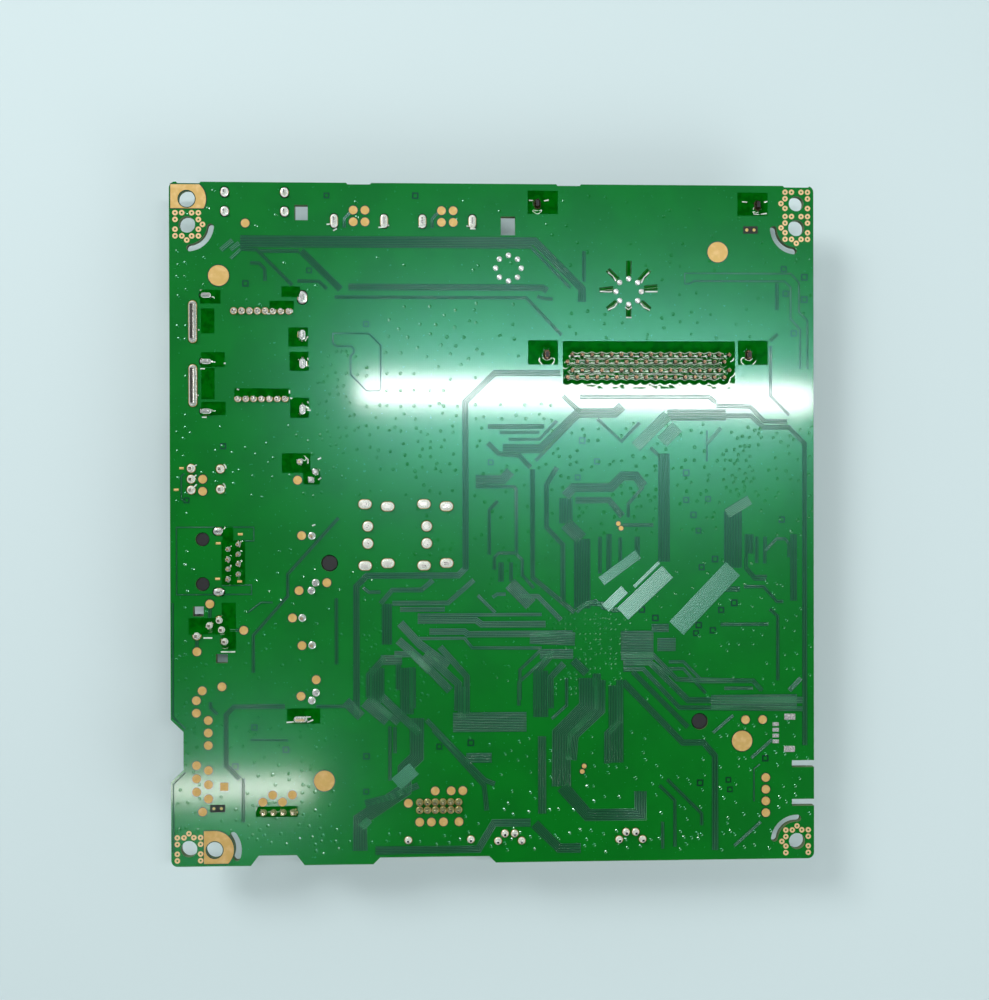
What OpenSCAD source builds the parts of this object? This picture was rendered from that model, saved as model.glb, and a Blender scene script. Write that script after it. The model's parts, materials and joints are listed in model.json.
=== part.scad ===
// Main board of a television, lying with its solder side up on its tallest components.
// +X is right and +Y is up on the solder side, +Z points out of the solder side.
// The origin is on the surface below the middle of the board.

/* [Board] */
// Width of the board, along X
board_w = 166; // [160:1:176]
// Length of the board, along Y
board_l = 175; // [170:1:186]
// Thickness of the laminate
board_t = 1.6; // [1.2:0.1:2.4]
// Radius of the board's corners
corner_r = 1.6; // [0.8:0.1:2.2]
// Height of the tallest components, on which the board lies
stand_h = 13.5; // [13:0.1:15]
// Depth of the shallow cuts where the board was broken out of its panel
breakout_d = 0.4; // [0.2:0.1:0.8]
// Depth of the cut in the left edge for the headphone jack
jack_cut_d = 3.2; // [2.4:0.1:3.6]
// Depth of the deeper cut in the bottom edge
cable_cut_d = 2.6; // [1.6:0.1:3.2]
// Depth of the long cut in the bottom edge
ribbon_cut_d = 1.7; // [1:0.1:2.2]

/* [Screw holes] */
// Diameter of the screw holes
screw_d = 4.2; // [3.2:0.1:4.6]
// Distance of the screw holes from the side edges
screw_inset_x = 4.5; // [4:0.1:5]
// Distance of the lower screw holes from the bottom edge
screw_inset_low = 4.5; // [4.2:0.1:5]
// Distance of the upper screw holes from the top edge
screw_inset_up = 10.9; // [10:0.1:11.5]
// Diameter of the locating holes in the bare corner pads
locate_d = 4.6; // [3.6:0.1:5]
// Diameter of the earthing hole in the top right corner
earth_d = 3.9; // [3:0.1:4.2]
// Width of the curved relief slots beside the screw holes
relief_w = 1.8; // [1:0.1:2.2]
// Radius of the curved relief slots
relief_r = 6; // [5.6:0.1:6.6]
// Diameter of the black support posts' holes
post_hole_d = 4.3; // [3.6:0.1:5]
// Width of the slots cut into the right edge
edge_slot_w = 1.8; // [1:0.1:2.4]
// Length of the slots cut into the right edge
edge_slot_l = 5.8; // [4:0.1:7]

/* [Copper and solder] */
// Height of the tracks under the solder mask
track_h = 0.06; // [0.03:0.01:0.12]
// Width of one track
track_w = 0.26; // [0.18:0.01:0.34]
// Distance between the middles of neighbouring tracks
track_pitch = 0.46; // [0.4:0.01:0.6]
// Thickness of the bare gold pads
pad_t = 0.08; // [0.04:0.01:0.15]
// Diameter of a test pad
test_pad_d = 2.2; // [1.6:0.1:2.4]
// Diameter of a large probe disc
probe_disc_d = 5.3; // [4:0.1:6.5]
// Height of the solder on a pin
solder_h = 1; // [0.6:0.1:1.4]
// How far a pin's end stands out of its solder
pin_out = 0.3; // [0.1:0.1:0.8]
// Thickness of the flux film in the soldering windows
film_t = 0.03; // [0.02:0.01:0.05]

/* [Card slot] */
// Width of the card that the slot takes
card_w = 54; // [50:0.5:56]
// Thickness of the card
card_t = 5; // [3.3:0.1:5.5]
// Height of the card guide over the board
guide_h = 8.5; // [8:0.1:10]
// Width of each rail of the guide
rail_w = 3; // [2.4:0.1:3.4]
// Distance between the pins of one row of the header
card_pitch = 2.54; // [2.4:0.01:2.6]
// Width of a header pin
card_pin_w = 0.42; // [0.3:0.01:0.5]

/* [Tuners] */
// Length of a tuner can
can_l = 27.1; // [26:0.1:30]
// Width of a tuner can
can_w = 13; // [11.5:0.1:13.2]
// Thickness of the cans' and shells' sheet metal
sheet_t = 0.3; // [0.2:0.05:0.5]
// Outer diameter of the aerial sockets
aerial_d = 9.4; // [8.5:0.1:10]
// Inner diameter of the aerial sockets
aerial_bore = 7; // [5:0.1:7.6]
// Distance between a tuner's pins
tuner_pitch = 2; // [1.8:0.05:2.2]
// Number of pins on a tuner
tuner_pins = 8; // [5:1:8]

/* [Sockets] */
// Width of the network socket
lan_w = 15.8; // [15:0.1:16.4]
// Length of the network socket
lan_l = 20.4; // [19.5:0.1:22]
// Width of its plug opening
lan_open_w = 11.8; // [11:0.1:12.2]
// Height of its plug opening
lan_open_h = 7; // [6.4:0.1:7.6]
// Diameter of the network socket's pegs
peg_d = 3.2; // [2.8:0.1:3.4]
// Width of a data socket's shell
usb_w = 13.1; // [12.6:0.1:14]
// Length of a data socket's shell
usb_l = 13.6; // [12.5:0.1:15]
// Height of a data socket's shell
usb_h = 5.7; // [5:0.1:6.5]
// Width of the video socket's shell
video_w = 14.6; // [14:0.1:15.2]
// Length of the video socket's shell
video_l = 11.6; // [10:0.1:13]
// Height of the video socket's shell
video_h = 5.6; // [5:0.1:6.5]
// Bore of the round plug sockets
jack_bore = 3.6; // [3.4:0.1:4]

/* [Cooling] */
// Side of the square heat sink
sink_w = 44; // [38:1:46]
// Thickness of the heat sink's base
sink_base_t = 2.4; // [1.8:0.1:3.5]
// Thickness of a fin
fin_t = 1.2; // [0.8:0.1:1.6]
// Number of fins
fin_count = 10; // [6:1:12]
// Side of the main processor's package
cpu_w = 27; // [23:1:31]
// Thickness of the main processor's package
cpu_t = 1.8; // [1.2:0.1:2.4]
// Thickness of the thermal pad
gap_pad_t = 0.6; // [0.3:0.1:1.2]

/* [Coils and capacitors] */
// Diameter of an output coil's core
coil_d = 8.6; // [7.5:0.1:9.2]
// Height of an output coil
coil_h = 11; // [8:0.1:12.4]
// Diameter of a leaded capacitor
cap_d = 6.3; // [5:0.1:6.5]
// Height of a leaded capacitor
cap_h = 11; // [8:0.1:12.4]
// Diameter of a support post
post_d = 7; // [6:0.1:7.6]

/* [Hidden] */
$fn = 48;

// Heights of the two faces of the board
comp_z = stand_h;
face_z = stand_h + board_t;

// Edges of the board
left_x = -board_w / 2;
right_x = board_w / 2;
top_y = board_l / 2;
low_y = -board_l / 2;

// Small gaps: round a lead in its hole, between a part and the board, and between fitted parts
hole_gap = 0.3;
seat_gap = 0.1;
fit_gap = 0.1;
eps = 0.01;

// ---------------------------------------------------------------- general shapes

// Puts its children on the component side, their own +Z pointing away from the board
module under(p, a = 0)
  translate([p[0], p[1], comp_z]) mirror([0, 0, 1]) rotate([0, 0, a]) children();

// Puts its children on the solder side
module over(p, a = 0) translate([p[0], p[1], face_z]) rotate([0, 0, a]) children();

// A block with its corner at p, of size s, centred across Y
module bar(x, w, z, l, h) translate([x, -w / 2, z]) cube([l, w, h]);

// A flat shape with round ends, l long in all and w wide, along X
module round_bar(l, w) {
  square([l - w, w], center = true);
  for (s = [-1, 1]) translate([s * (l - w) / 2, 0]) circle(d = w);
}

// Direction of a path's segment i and its left normal
function seg(p, i) = (p[i + 1] - p[i]) / norm(p[i + 1] - p[i]);
function left_of(v) = [-v[1], v[0]];
// Mitre vector at point i of a path
function mitre(p, i) =
  i == 0 ? left_of(seg(p, 0)) :
  i == len(p) - 1 ? left_of(seg(p, i - 1)) :
  let(m = left_of(seg(p, i - 1)) + left_of(seg(p, i))) 2 * m / (m * m);
// The path moved sideways by d
function beside(p, d) = [for (i = [0:len(p) - 1]) p[i] + d * mitre(p, i)];
function backwards(p) = [for (i = [len(p) - 1:-1:0]) p[i]];

// A flat line of width w along a path
module line(p, w) polygon(concat(beside(p, w / 2), backwards(beside(p, -w / 2))));

// Count parallel lines along a path, the path in their middle
module bundle(p, count)
  for (i = [0:count - 1]) line(beside(p, (i - (count - 1) / 2) * track_pitch), track_w);

// A strip of sheet bent along a path in its XZ plane, w wide across Y
module bent_strip(p, t, w) translate([0, w / 2, 0]) rotate([90, 0, 0]) linear_extrude(w) line(p, t);

// ---------------------------------------------------------------- soldered leads

// Outline of a solder joint in section: barrel in the hole and hollow fillet on the face
fillet_steps = 4;
function joint_outline(hole_r, pad_r, top_r, h) = concat(
  [[0, -board_t], [hole_r, -board_t], [hole_r, 0]],
  [for (i = [0:fillet_steps]) let(a = 90 * i / fillet_steps)
    [pad_r - (pad_r - top_r) * sin(a), h * (1 - cos(a)) + pad_t]],
  [[0, h + pad_t]]);
function lead_hole_r(w) = w * 0.71 + hole_gap / 2;

// Round joint on a square lead of width w
module joint(p, pad_r, w) over(p) difference() {
  rotate_extrude() polygon(joint_outline(lead_hole_r(w), pad_r, lead_hole_r(w), solder_h));
  translate([-w / 2, -w / 2, -board_t - eps]) cube([w, w, board_t + solder_h + 1]);
}

// Long joint on a flat lead, l and w over all, the lead blade_l by blade_w
module long_joint(p, l, w, blade_l, blade_w, a = 0) over(p, a) {
  hole_r = (blade_w + hole_gap) / 2;
  outline = joint_outline(hole_r, w / 2, hole_r, solder_h);
  reach = (l - w) / 2;
  difference() {
    union() {
      for (s = [-1, 1]) translate([s * reach, 0, 0]) rotate_extrude() polygon(outline);
      for (s = [0, 180]) rotate([90, 0, 90 + s]) translate([0, 0, -reach])
        linear_extrude(2 * reach) polygon(outline);
    }
    translate([-blade_l / 2, -blade_w / 2, -board_t - eps])
      cube([blade_l, blade_w, board_t + solder_h + 1]);
  }
}

// Hole in the board for a square lead, and for a flat one
module lead_hole(p, w) translate([p[0], p[1], comp_z - 1]) cylinder(r = lead_hole_r(w), h = board_t + 2);
module long_hole(p, l, w, blade_w, a = 0)
  translate([p[0], p[1], comp_z - 1]) rotate([0, 0, a]) linear_extrude(board_t + 2)
    round_bar(l - w + blade_w + hole_gap, blade_w + hole_gap);

// Straight lead through the board, starting depth below the component face
lead_end = board_t + pad_t + solder_h + pin_out;
module lead(p, w, depth = seat_gap)
  translate([p[0] - w / 2, p[1] - w / 2, comp_z - depth]) cube([w, w, depth + lead_end]);
module blade(p, l, w, a = 0, depth = seat_gap)
  translate([p[0], p[1], comp_z - depth]) rotate([0, 0, a])
    translate([-l / 2, -w / 2, 0]) cube([l, w, depth + lead_end]);

// ---------------------------------------------------------------- places of the parts

// Screw holes, locating holes and support posts
screw_pts = [[left_x + screw_inset_x, top_y - screw_inset_up],
  [right_x - screw_inset_x, top_y - screw_inset_up],
  [right_x - screw_inset_x, low_y + screw_inset_low],
  [left_x + screw_inset_x, low_y + screw_inset_low]];
earth_pt = [right_x - screw_inset_x, top_y - 4.6];
locate_pts = [[left_x + screw_inset_x, top_y - 4.4], [left_x + 11, low_y + 4.2]];
post_pts = [[left_x + 40.5, -10], [53, -51.5]];
window_pts = [[-49.5, top_y - 7.7, 3.4, 3.9], [3.5, top_y - 10.8, 3.7, 4.8],
  [left_x + 7.1, -22.2, 2.7, 2.5], [left_x + 13, -34.3, 3, 2.3]];

// Card slot: middle of the card, rows of the header, and fixing feet
card_x = 39.7;
header_y = top_y - 44;
row_steps = [0, 1.8, 4, 5.8];
row_count = 17;
function card_row(r) = [for (i = [0:row_count - 1])
  [card_x + (i - (row_count - 1) / 2) * card_pitch + (r % 2 == 0 ? 1 : -1) * card_pitch / 4,
   header_y - row_steps[r]]];
card_pts = [for (r = [0:3]) each card_row(r)];
rail_mid = card_w / 2 + fit_gap + rail_w / 2;
guide_foot_pts = [for (s = [-1, 1]) [card_x + s * rail_mid, top_y - 5.2]];
header_foot_x = card_w / 2 - 0.8;
header_foot_pts = [for (s = [-1, 1]) [card_x + s * header_foot_x, header_y]];

// Tuners
tuner_y = [52.2, 35.3];
aerial_y = [51.8, 35.5];
tuner_row_y = [54.6, 32.2];
flange_x = left_x + 5.9;
flange_l = 8.8;
blade_t = 0.8;
can_x = left_x + 6.8;
wall_y = (can_w - sheet_t) / 2;
function tuner_pin_pts(n) = [for (i = [0:tuner_pins - 1 - n])
  [can_x + 9.5 + n + i * tuner_pitch, tuner_row_y[n]]];
// Feet of a can's end wall, the lower one of the first can further in
can_foot_y = can_w / 2 - 0.62;
low_foot_y = [3.7, can_foot_y];
function can_foot_pts(n) = [for (y = [-low_foot_y[n], can_foot_y])
  [can_x + can_l - sheet_t / 2, tuner_y[n] + y]];
function socket_foot_pt(n) = [left_x + 9.3, tuner_y[n] + wall_y];
low_foot_pt = [left_x + 9.3, tuner_y[1] - wall_y];

// Network socket
lan_y = -9.5;
lan_pitch = 1.27;
lan_row_x = [left_x + 17.3, left_x + 14.7];
lan_pts = [for (i = [0:7]) [lan_row_x[i % 2], lan_y + (3.5 - i) * lan_pitch]];
peg_pts = [for (s = [-1, 1]) [left_x + 8.2, lan_y + s * 5.72]];
peg_hole_d = peg_d + 0.35;
lan_foot_pts = [for (s = [-1, 1]) [left_x + 12.3, lan_y + s * (lan_w - sheet_t) / 2]];

// Data and video sockets on the top edge
usb_x = [-34.7, -12.1];
usb_foot_pts = [for (x = usb_x, s = [-1, 1]) [x + s * (usb_w - sheet_t) / 2, top_y - 9.8]];
video_x = -61.3;
video_foot_pts = [for (s = [-1, 1], d = [2.6, 7.5]) [video_x + s * (video_w + 0.6) / 2, top_y - d]];

// Round plug sockets on the left edge
headphone_y = -57.4;
audio_y = 11.6;
av_y = -28.4;
audio_pts = [for (i = [-1, 0, 1]) [left_x + 5.4, audio_y + i * 2.75]];
audio_rear_pts = [for (s = [-1, 1]) [left_x + 12.8, audio_y + s * 2.6]];
av_pts = [[left_x + 12.4, av_y + 3.9], [left_x + 9.9, av_y + 2.6], [left_x + 6.7, av_y],
  [left_x + 13, av_y + 1.5], [left_x + 13.8, av_y - 1.5]];

// Output coils: middles, and the leads round each
coil_pts = [for (x = [52.5, 67.6], s = [1, -1]) [left_x + x, -2.8 + s * 4.9]];
coil_side = [for (x = [0, 1], s = [1, -1]) s];
function coil_long_pts(i) = [for (s = [-1, 1]) coil_pts[i] + [s * 2.9, coil_side[i] * (2.7 - s * 0.3)]];
function coil_round_pt(i) = coil_pts[i] + [-2.2, -coil_side[i] * 2.7];

// Pin headers, ribbon connectors
speaker_pt = [-55.7, low_y + 13.7];
speaker_pitch = 2.5;
speaker_pts = [for (i = [-1.5:1:1.5]) speaker_pt + [i * speaker_pitch, 0]];
power_pt = [-14.6, low_y + 14.8];
power_pitch = 2;
power_pts = [for (i = [-2.5:1:2.5], s = [-1, 1]) power_pt + [i * power_pitch, s * power_pitch / 2]];
panel_x = 19.3;
panel_half = 15.7;
panel_foot_y = low_y + 7.5;
panel_foot_pts = [for (s = [-1, 1], t = [-1, 1], f = [[1.25, 0], [3.05, -1.9]])
  [panel_x + s * panel_half + t * f[0], panel_foot_y + f[1]]];
strip_x = -14.5;
strip_foot_pts = [for (s = [-1, 1]) [strip_x + s * 8.05, low_y + 6.1]];

// Leaded capacitors, earthing clips, rings of soldered vias
cap_pts = [for (y = [12.4, -16, -44.2]) [left_x + 36.4, y]];
cap_lead = [0.55, 1];
cap_lead_pts = [for (p = cap_pts, s = [-1, 1]) p + s * cap_lead];
clip_pts = [for (p = [[33, 16], [36, -3], [33.5, -24], [36, -31]]) [left_x + p[0], p[1]]];
last_clip_pt = [left_x + 33, -50];
ring_pts = [for (c = [[3.6, 65.8], [34.7, 59.9]], i = [0:7])
  c + 3.3 * [cos(45 * i), sin(45 * i)]];

// Main processor and its heat sink
cpu_pt = [25.7, -31.4];

// Sizes of the round joints, [pad radius, lead width]
card_joint = [0.66, card_pin_w];
tuner_joint = [0.76, 0.5];
lan_joint = [0.78, 0.45];
jack_joint = [1, 0.7];
coil_joint = [1.25, 0.8];
speaker_joint = [1, 0.64];
power_joint = [0.8, 0.5];
foot_joint = [0.85, 0.6];
cap_joint = [0.95, 0.6];
round_sets = [[card_pts, card_joint], [tuner_pin_pts(0), tuner_joint], [tuner_pin_pts(1), tuner_joint],
  [lan_pts, lan_joint], [concat(audio_pts, audio_rear_pts, av_pts), jack_joint],
  [[for (i = [0:3]) coil_round_pt(i)], coil_joint], [speaker_pts, speaker_joint],
  [power_pts, power_joint], [concat(panel_foot_pts, strip_foot_pts), foot_joint],
  [concat(cap_lead_pts, clip_pts), cap_joint]];

// Sizes of the long joints, [length, width, lead length, lead width, angle]
usb_joint = [3.4, 1.7, 1.6, sheet_t, 90];
video_joint = [2.4, 1.9, 0.8, sheet_t, 90];
guide_joint = [3.2, 2.2, 1.4, 0.8, 90];
flange_joint = [flange_l + 1.8, 1.9, flange_l, blade_t, 90];
can_joint = [3.2, 2.2, 1.2, sheet_t, 90];
side_joint = [3.1, 1.8, 1.2, sheet_t, 0];
lan_shield_joint = [2.6, 1.7, 1.2, sheet_t, 0];
coil_long_joint = [3.2, 2.2, 1.4, 0.8, 0];
clip_long_joint = [3.9, 1.9, 2.2, 0.5, 0];
long_sets = [[usb_foot_pts, usb_joint], [video_foot_pts, video_joint],
  [concat(guide_foot_pts, header_foot_pts), guide_joint],
  [[for (y = aerial_y) [flange_x, y]], flange_joint], [[for (n = [0, 1]) each can_foot_pts(n)], can_joint],
  [lan_foot_pts, lan_shield_joint], [[for (i = [0:3]) each coil_long_pts(i)], coil_long_joint],
  [[last_clip_pt], clip_long_joint],
  [concat([for (n = [0, 1]) socket_foot_pt(n)], [low_foot_pt]), side_joint]];

module round_joints(set) for (p = set[0]) joint(p, set[1][0], set[1][1]);
module long_joints(set) for (p = set[0])
  long_joint(p, set[1][0], set[1][1], set[1][2], set[1][3], set[1][4]);

// ---------------------------------------------------------------- board and copper

// Rounded outline before its cuts
module blank_outline() {
  steps = 6;
  corners = [[right_x, top_y], [left_x, top_y], [left_x, low_y], [right_x, low_y]];
  polygon([for (c = [0:3], i = [0:steps]) let(a = 90 * c + 90 * i / steps)
    corners[c] - corner_r * [sign(corners[c][0]), sign(corners[c][1])] + corner_r * [cos(a), sin(a)]]);
}

// A cut with sloping ends into an edge, from x0 to x1 and d deep, the edge along X at y = 0
module edge_cut(x0, x1, d, slope)
  polygon([[x0, 1], [x0, 0], [x0 + slope, -d], [x1 - slope, -d], [x1, 0], [x1, 1]]);

module outline_cuts() {
  for (r = [[-81.2, -75], [-38, -31.6], [16, 22.4], [75, 82]])
    translate([0, top_y]) edge_cut(r[0], r[1], breakout_d, 0.3);
  translate([left_x, 0]) rotate(90) edge_cut(-65.8, -49.9, jack_cut_d, 3.1);
  translate([0, low_y]) rotate(180) edge_cut(49.1, 62.8, cable_cut_d, 2);
  translate([0, low_y]) rotate(180) edge_cut(0, 31.5, ribbon_cut_d, 1.7);
  for (y = [-62.8, -72.9]) translate([right_x - edge_slot_l, y - edge_slot_w / 2])
    square([edge_slot_l + 1, edge_slot_w]);
}

// Curved relief slot about p, from angle a0 to a1, with round ends
function arc(c, r, a0, a1, steps) =
  [for (i = [0:steps]) let(a = a0 + (a1 - a0) * i / steps) c + r * [cos(a), sin(a)]];
module relief_slot(p, a0, a1) {
  half = relief_w / 2;
  ends = [for (a = [a0, a1]) p + relief_r * [cos(a), sin(a)]];
  polygon(concat(arc(p, relief_r + half, a0, a1, 10), arc(ends[1], half, a1 + 30, a1 + 150, 4),
    arc(p, relief_r - half, a1, a0, 10), arc(ends[0], half, a0 + 210, a0 + 330, 4)));
}

module board() color([0.02, 0.42, 0.13]) difference() {
  translate([0, 0, comp_z]) linear_extrude(board_t) blank_outline();
  translate([0, 0, comp_z - 1]) linear_extrude(board_t + 2) {
    outline_cuts();
    for (w = window_pts) translate([w[0], w[1]]) square([w[2], w[3]], center = true);
    relief_slot(screw_pts[0], -83, -6);
    relief_slot(screw_pts[1], 184, 263);
    relief_slot(screw_pts[2], 88, 172);
    relief_slot(locate_pts[1], -20, 38);
  }
  for (p = screw_pts) translate([p[0], p[1], comp_z - 1]) cylinder(d = screw_d, h = board_t + 2);
  for (p = locate_pts) translate([p[0], p[1], comp_z - 1]) cylinder(d = locate_d, h = board_t + 2);
  translate([earth_pt[0], earth_pt[1], comp_z - 1]) cylinder(d = earth_d, h = board_t + 2);
  for (p = post_pts) translate([p[0], p[1], comp_z - 1]) cylinder(d = post_hole_d, h = board_t + 2);
  for (p = peg_pts) translate([p[0], p[1], comp_z - 1]) cylinder(d = peg_hole_d, h = board_t + 2);
  for (s = round_sets, p = s[0]) lead_hole(p, s[1][1]);
  for (s = long_sets, p = s[0]) long_hole(p, s[1][0], s[1][1], s[1][3], s[1][4]);
}

// Bare pads round the two locating holes, cut off by the board's edges
pad_reach = 4.9;
module corner_pad(p, x0, y0, x1, y1) over([0, 0]) difference() {
  linear_extrude(pad_t) union() {
    translate([x0, y0]) square([p[0] - x0, y1 - y0]);
    intersection() {
      translate(p) circle(r = pad_reach);
      translate([p[0] - 1, y0]) square([x1 - p[0] + 1, y1 - y0]);
    }
  }
  translate([p[0], p[1], -1]) cylinder(d = locate_d, h = 2);
}
module ground_pads() color([0.89, 0.75, 0.45]) {
  p = locate_pts[0];
  q = locate_pts[1];
  corner_pad(p, left_x + 0.4, p[1] - 2.4, p[0] + pad_reach, top_y - 0.7);
  corner_pad(q, q[0] - 2.7, low_y + 0.7, q[0] + pad_reach, q[1] + pad_reach);
}

// Small open vias in a square about each screw hole, with a few further out
via_d = 1.4;
via_bore = 0.5;
via_side = 2.95;
via_mid = 1.25;
via_far = 4;
via_corner = via_side / via_far;
low_corners = [[-via_corner, -via_corner], [via_corner, -via_corner]];
// [hole, sides with a full row, directions of those further out]
via_sets = [[screw_pts[0], [-1, 1], [[1, 0], [0, -1]]], [screw_pts[1], [-1, 1], [[-1, 0], [0, -1]]],
  [screw_pts[2], [1], concat([[-1, 0], [0, 1]], low_corners)],
  [screw_pts[3], [1], concat([[0, 1]], low_corners)], [earth_pt, [1], [[-1, 0]]]];
function via_pts(set) = concat(
  [for (x = [-via_side, -via_mid, via_mid, via_side], s = set[1]) set[0] + [x, s * via_side]],
  [for (x = [-1, 1], y = [-1, 1]) set[0] + [x * via_side, y * via_mid]],
  [for (f = set[2]) set[0] + via_far * f]);
module screw_vias() color([0.8, 0.72, 0.45]) for (set = via_sets, p = via_pts(set)) over(p) difference() {
  cylinder(d = via_d, h = pad_t, $fn = 16);
  translate([0, 0, -1]) cylinder(d = via_bore, h = 2, $fn = 16);
}

// Small bare test pads, in their rows and pairs, and the large probe discs
function pad_column(x, y0, step, count) = [for (i = [0:count - 1]) [x, y0 - i * step]];
usb_pad_pts = [for (x = usb_x, i = [0, 1], j = [0, 1]) [x - 1.5 + 3 * i, top_y - 7 - 3 * j]];
left_pad_pts = concat([[-75, -42.5], [-70, -41.5], [-75, -73.5]],
  pad_column(-76.5, -45, 3.2, 2), pad_column(-73.5, -50.1, 3.2, 3), pad_column(-76.5, -61.6, 3.4, 3),
  pad_column(-73.5, -62.9, 3.65, 3));
side_pads = [[32.4, 11.3], [8.3, 11.6], [8.3, 8.5], [33.4, -2.9], [39.8, -15], [32.7, -17], [31, -24],
  [33.4, -31.1], [10, -20.3], [18.6, -27.1], [6.7, -32.5], [37, -39.9], [33.1, -44.1]];
side_pad_pts = concat([[-63.7, top_y - 10.5]], [for (p = side_pads) [left_x + p[0], p[1]]]);
low_pad_pts = concat([for (i = [0:3]) [-59.7 + 2.5 * i, low_y + (i % 2 == 0 ? 16.3 : 18.1)]],
  [for (x = [-15.6, -11.5, -8.5]) [x, low_y + 18.7]], [[-22.5, low_y + 15.6]],
  [for (x = [-19.6, -16.6, -13.5, -9.5]) [x, low_y + 10.7]]);
right_pad_pts = concat([[65, -51.2], [69.5, -51.2]], pad_column(70.3, -66.3, 3.05, 4));
probe_pts = [[-70.5, 63.6], [57.9, 70.2], [-44, -65.9], [64.1, -56.7]];
dot_pts = [[31.9, -0.1], [32.6, -1.3], [22.9, -62.8], [22.4, -64.2]];
jumper_pts = [[66.5, 76], [-71.2, -72.7]];
small_pad_pts = concat(usb_pad_pts, left_pad_pts, side_pad_pts, low_pad_pts, right_pad_pts);
module test_pads() color([0.9, 0.76, 0.48]) {
  for (p = small_pad_pts) over(p) cylinder(d = test_pad_d, h = pad_t, $fn = 24);
  for (p = probe_pts) over(p) cylinder(d = probe_disc_d, h = pad_t);
  for (p = dot_pts) over(p) cylinder(d = 1.2, h = pad_t, $fn = 16);
  over([-69.5, -67.1]) translate([-1, -1, 0]) cube([2, 2, pad_t]);
}

// Black ink patches over two jumpers, each open round its two small pads
module jumper_patches() color([0.05, 0.05, 0.05]) for (p = jumper_pts) over(p) difference() {
  translate([-1.9, -0.95, 0]) cube([3.8, 1.9, film_t]);
  for (s = [-1, 1]) translate([s * 0.95, 0, -1]) cylinder(d = 1, h = 2, $fn = 16);
}

// Tracks: each bundle is a route through its middle and a number of tracks
upper_bundles = [
  [[[-65, 72], [10, 72], [22, 60], [22, 57]], 6],
  [[[-72.5, 69.5], [-70, 67.5], [-67, 67.5], [-65, 69.5]], 2],
  [[[-61, 70.3], [-52, 61]], 4],
  [[[-49.5, 70], [-39.5, 60]], 4],
  [[[-38.5, 60.2], [12.5, 60.2]], 6],
  [[[-40.5, 58], [8, 58], [17.5, 48.5]], 2],
  [[[23, 70.5], [23, 62]], 3],
  [[[73.5, 61.5], [73.5, 55]], 2],
  [[[73.5, 50], [71.8, 47.5], [71.8, 33], [76, 28.5]], 3],
  [[[-41.5, 48.5], [-32, 48.5], [-29.5, 46], [-29, 34], [-33, 34], [-37, 38.5], [-37, 42.5],
    [-36, 43.5], [-36.5, 45], [-40.5, 45.5], [-41.5, 47.8]], 1],
  [[[15, 39], [0, 39], [-7.5, 31.5], [-7.5, -11.5], [-9, -13], [-33.5, -13], [-36.5, -15.5],
    [-36.5, -46]], 4],
  [[[-5, -14.5], [-10.5, -20], [-26.5, -20]], 3],
  [[[-4.5, -11.5], [-4.5, -18.5], [0, -23]], 1],
  [[[-5.5, 11.5], [2.5, 11]], 1],
  [[[17.5, 33], [22, 29], [30, 29], [32, 30.3], [37.5, 30.3], [40, 31.2], [53, 31.2]], 3],
  [[[26, 33.2], [55.5, 33.2]], 2],
  [[[22, 27.5], [11, 18.5]], 5],
  [[[1.5, 25.3], [12.5, 25.3]], 2], [[[1.5, 23.4], [12.5, 23.4]], 3], [[[1.5, 20.8], [9, 20.8]], 4],
  [[[1.5, 17.2], [6.5, 17.2], [9.7, 14], [9.7, -14], [18, -21.5]], 3],
  [[[-1.5, 9.5], [5, 9.5], [5, -7.5]], 2],
  [[[13.5, 10], [13.5, -1], [17.2, -5], [17.2, -18]], 3],
  [[[36.5, 13], [29, 13], [21, 9.5], [18.5, 6], [18.5, 0.5], [22.6, -4], [22.6, -20.5]], 8],
  [[[44, 18], [44, -10], [33, -21]], 8],
  [[[42, 28], [33, 19.5]], 4],
  [[[43, 27.2], [66.5, 27.2]], 5],
  [[[68, 28.6], [71, 25.2], [76.5, 25.2], [80.2, 21], [80.2, -58]], 2],
  [[[64.5, 6.5], [64.5, 2], [61.8, -1], [61.8, -12], [47.5, -26.5]], 9],
  [[[59.5, -16.8], [64, -16.8], [69, -16.8], [73, -20.8], [75, -20.8]], 2],
  [[[68.5, -3], [68.5, -14.5]], 5], [[[77, -3], [77, -21]], 5],
  [[[-40.2, 1.6], [-53.2, -12.8], [-53.2, -18.4], [-62, -28.4], [-62, -38]], 2]];
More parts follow.
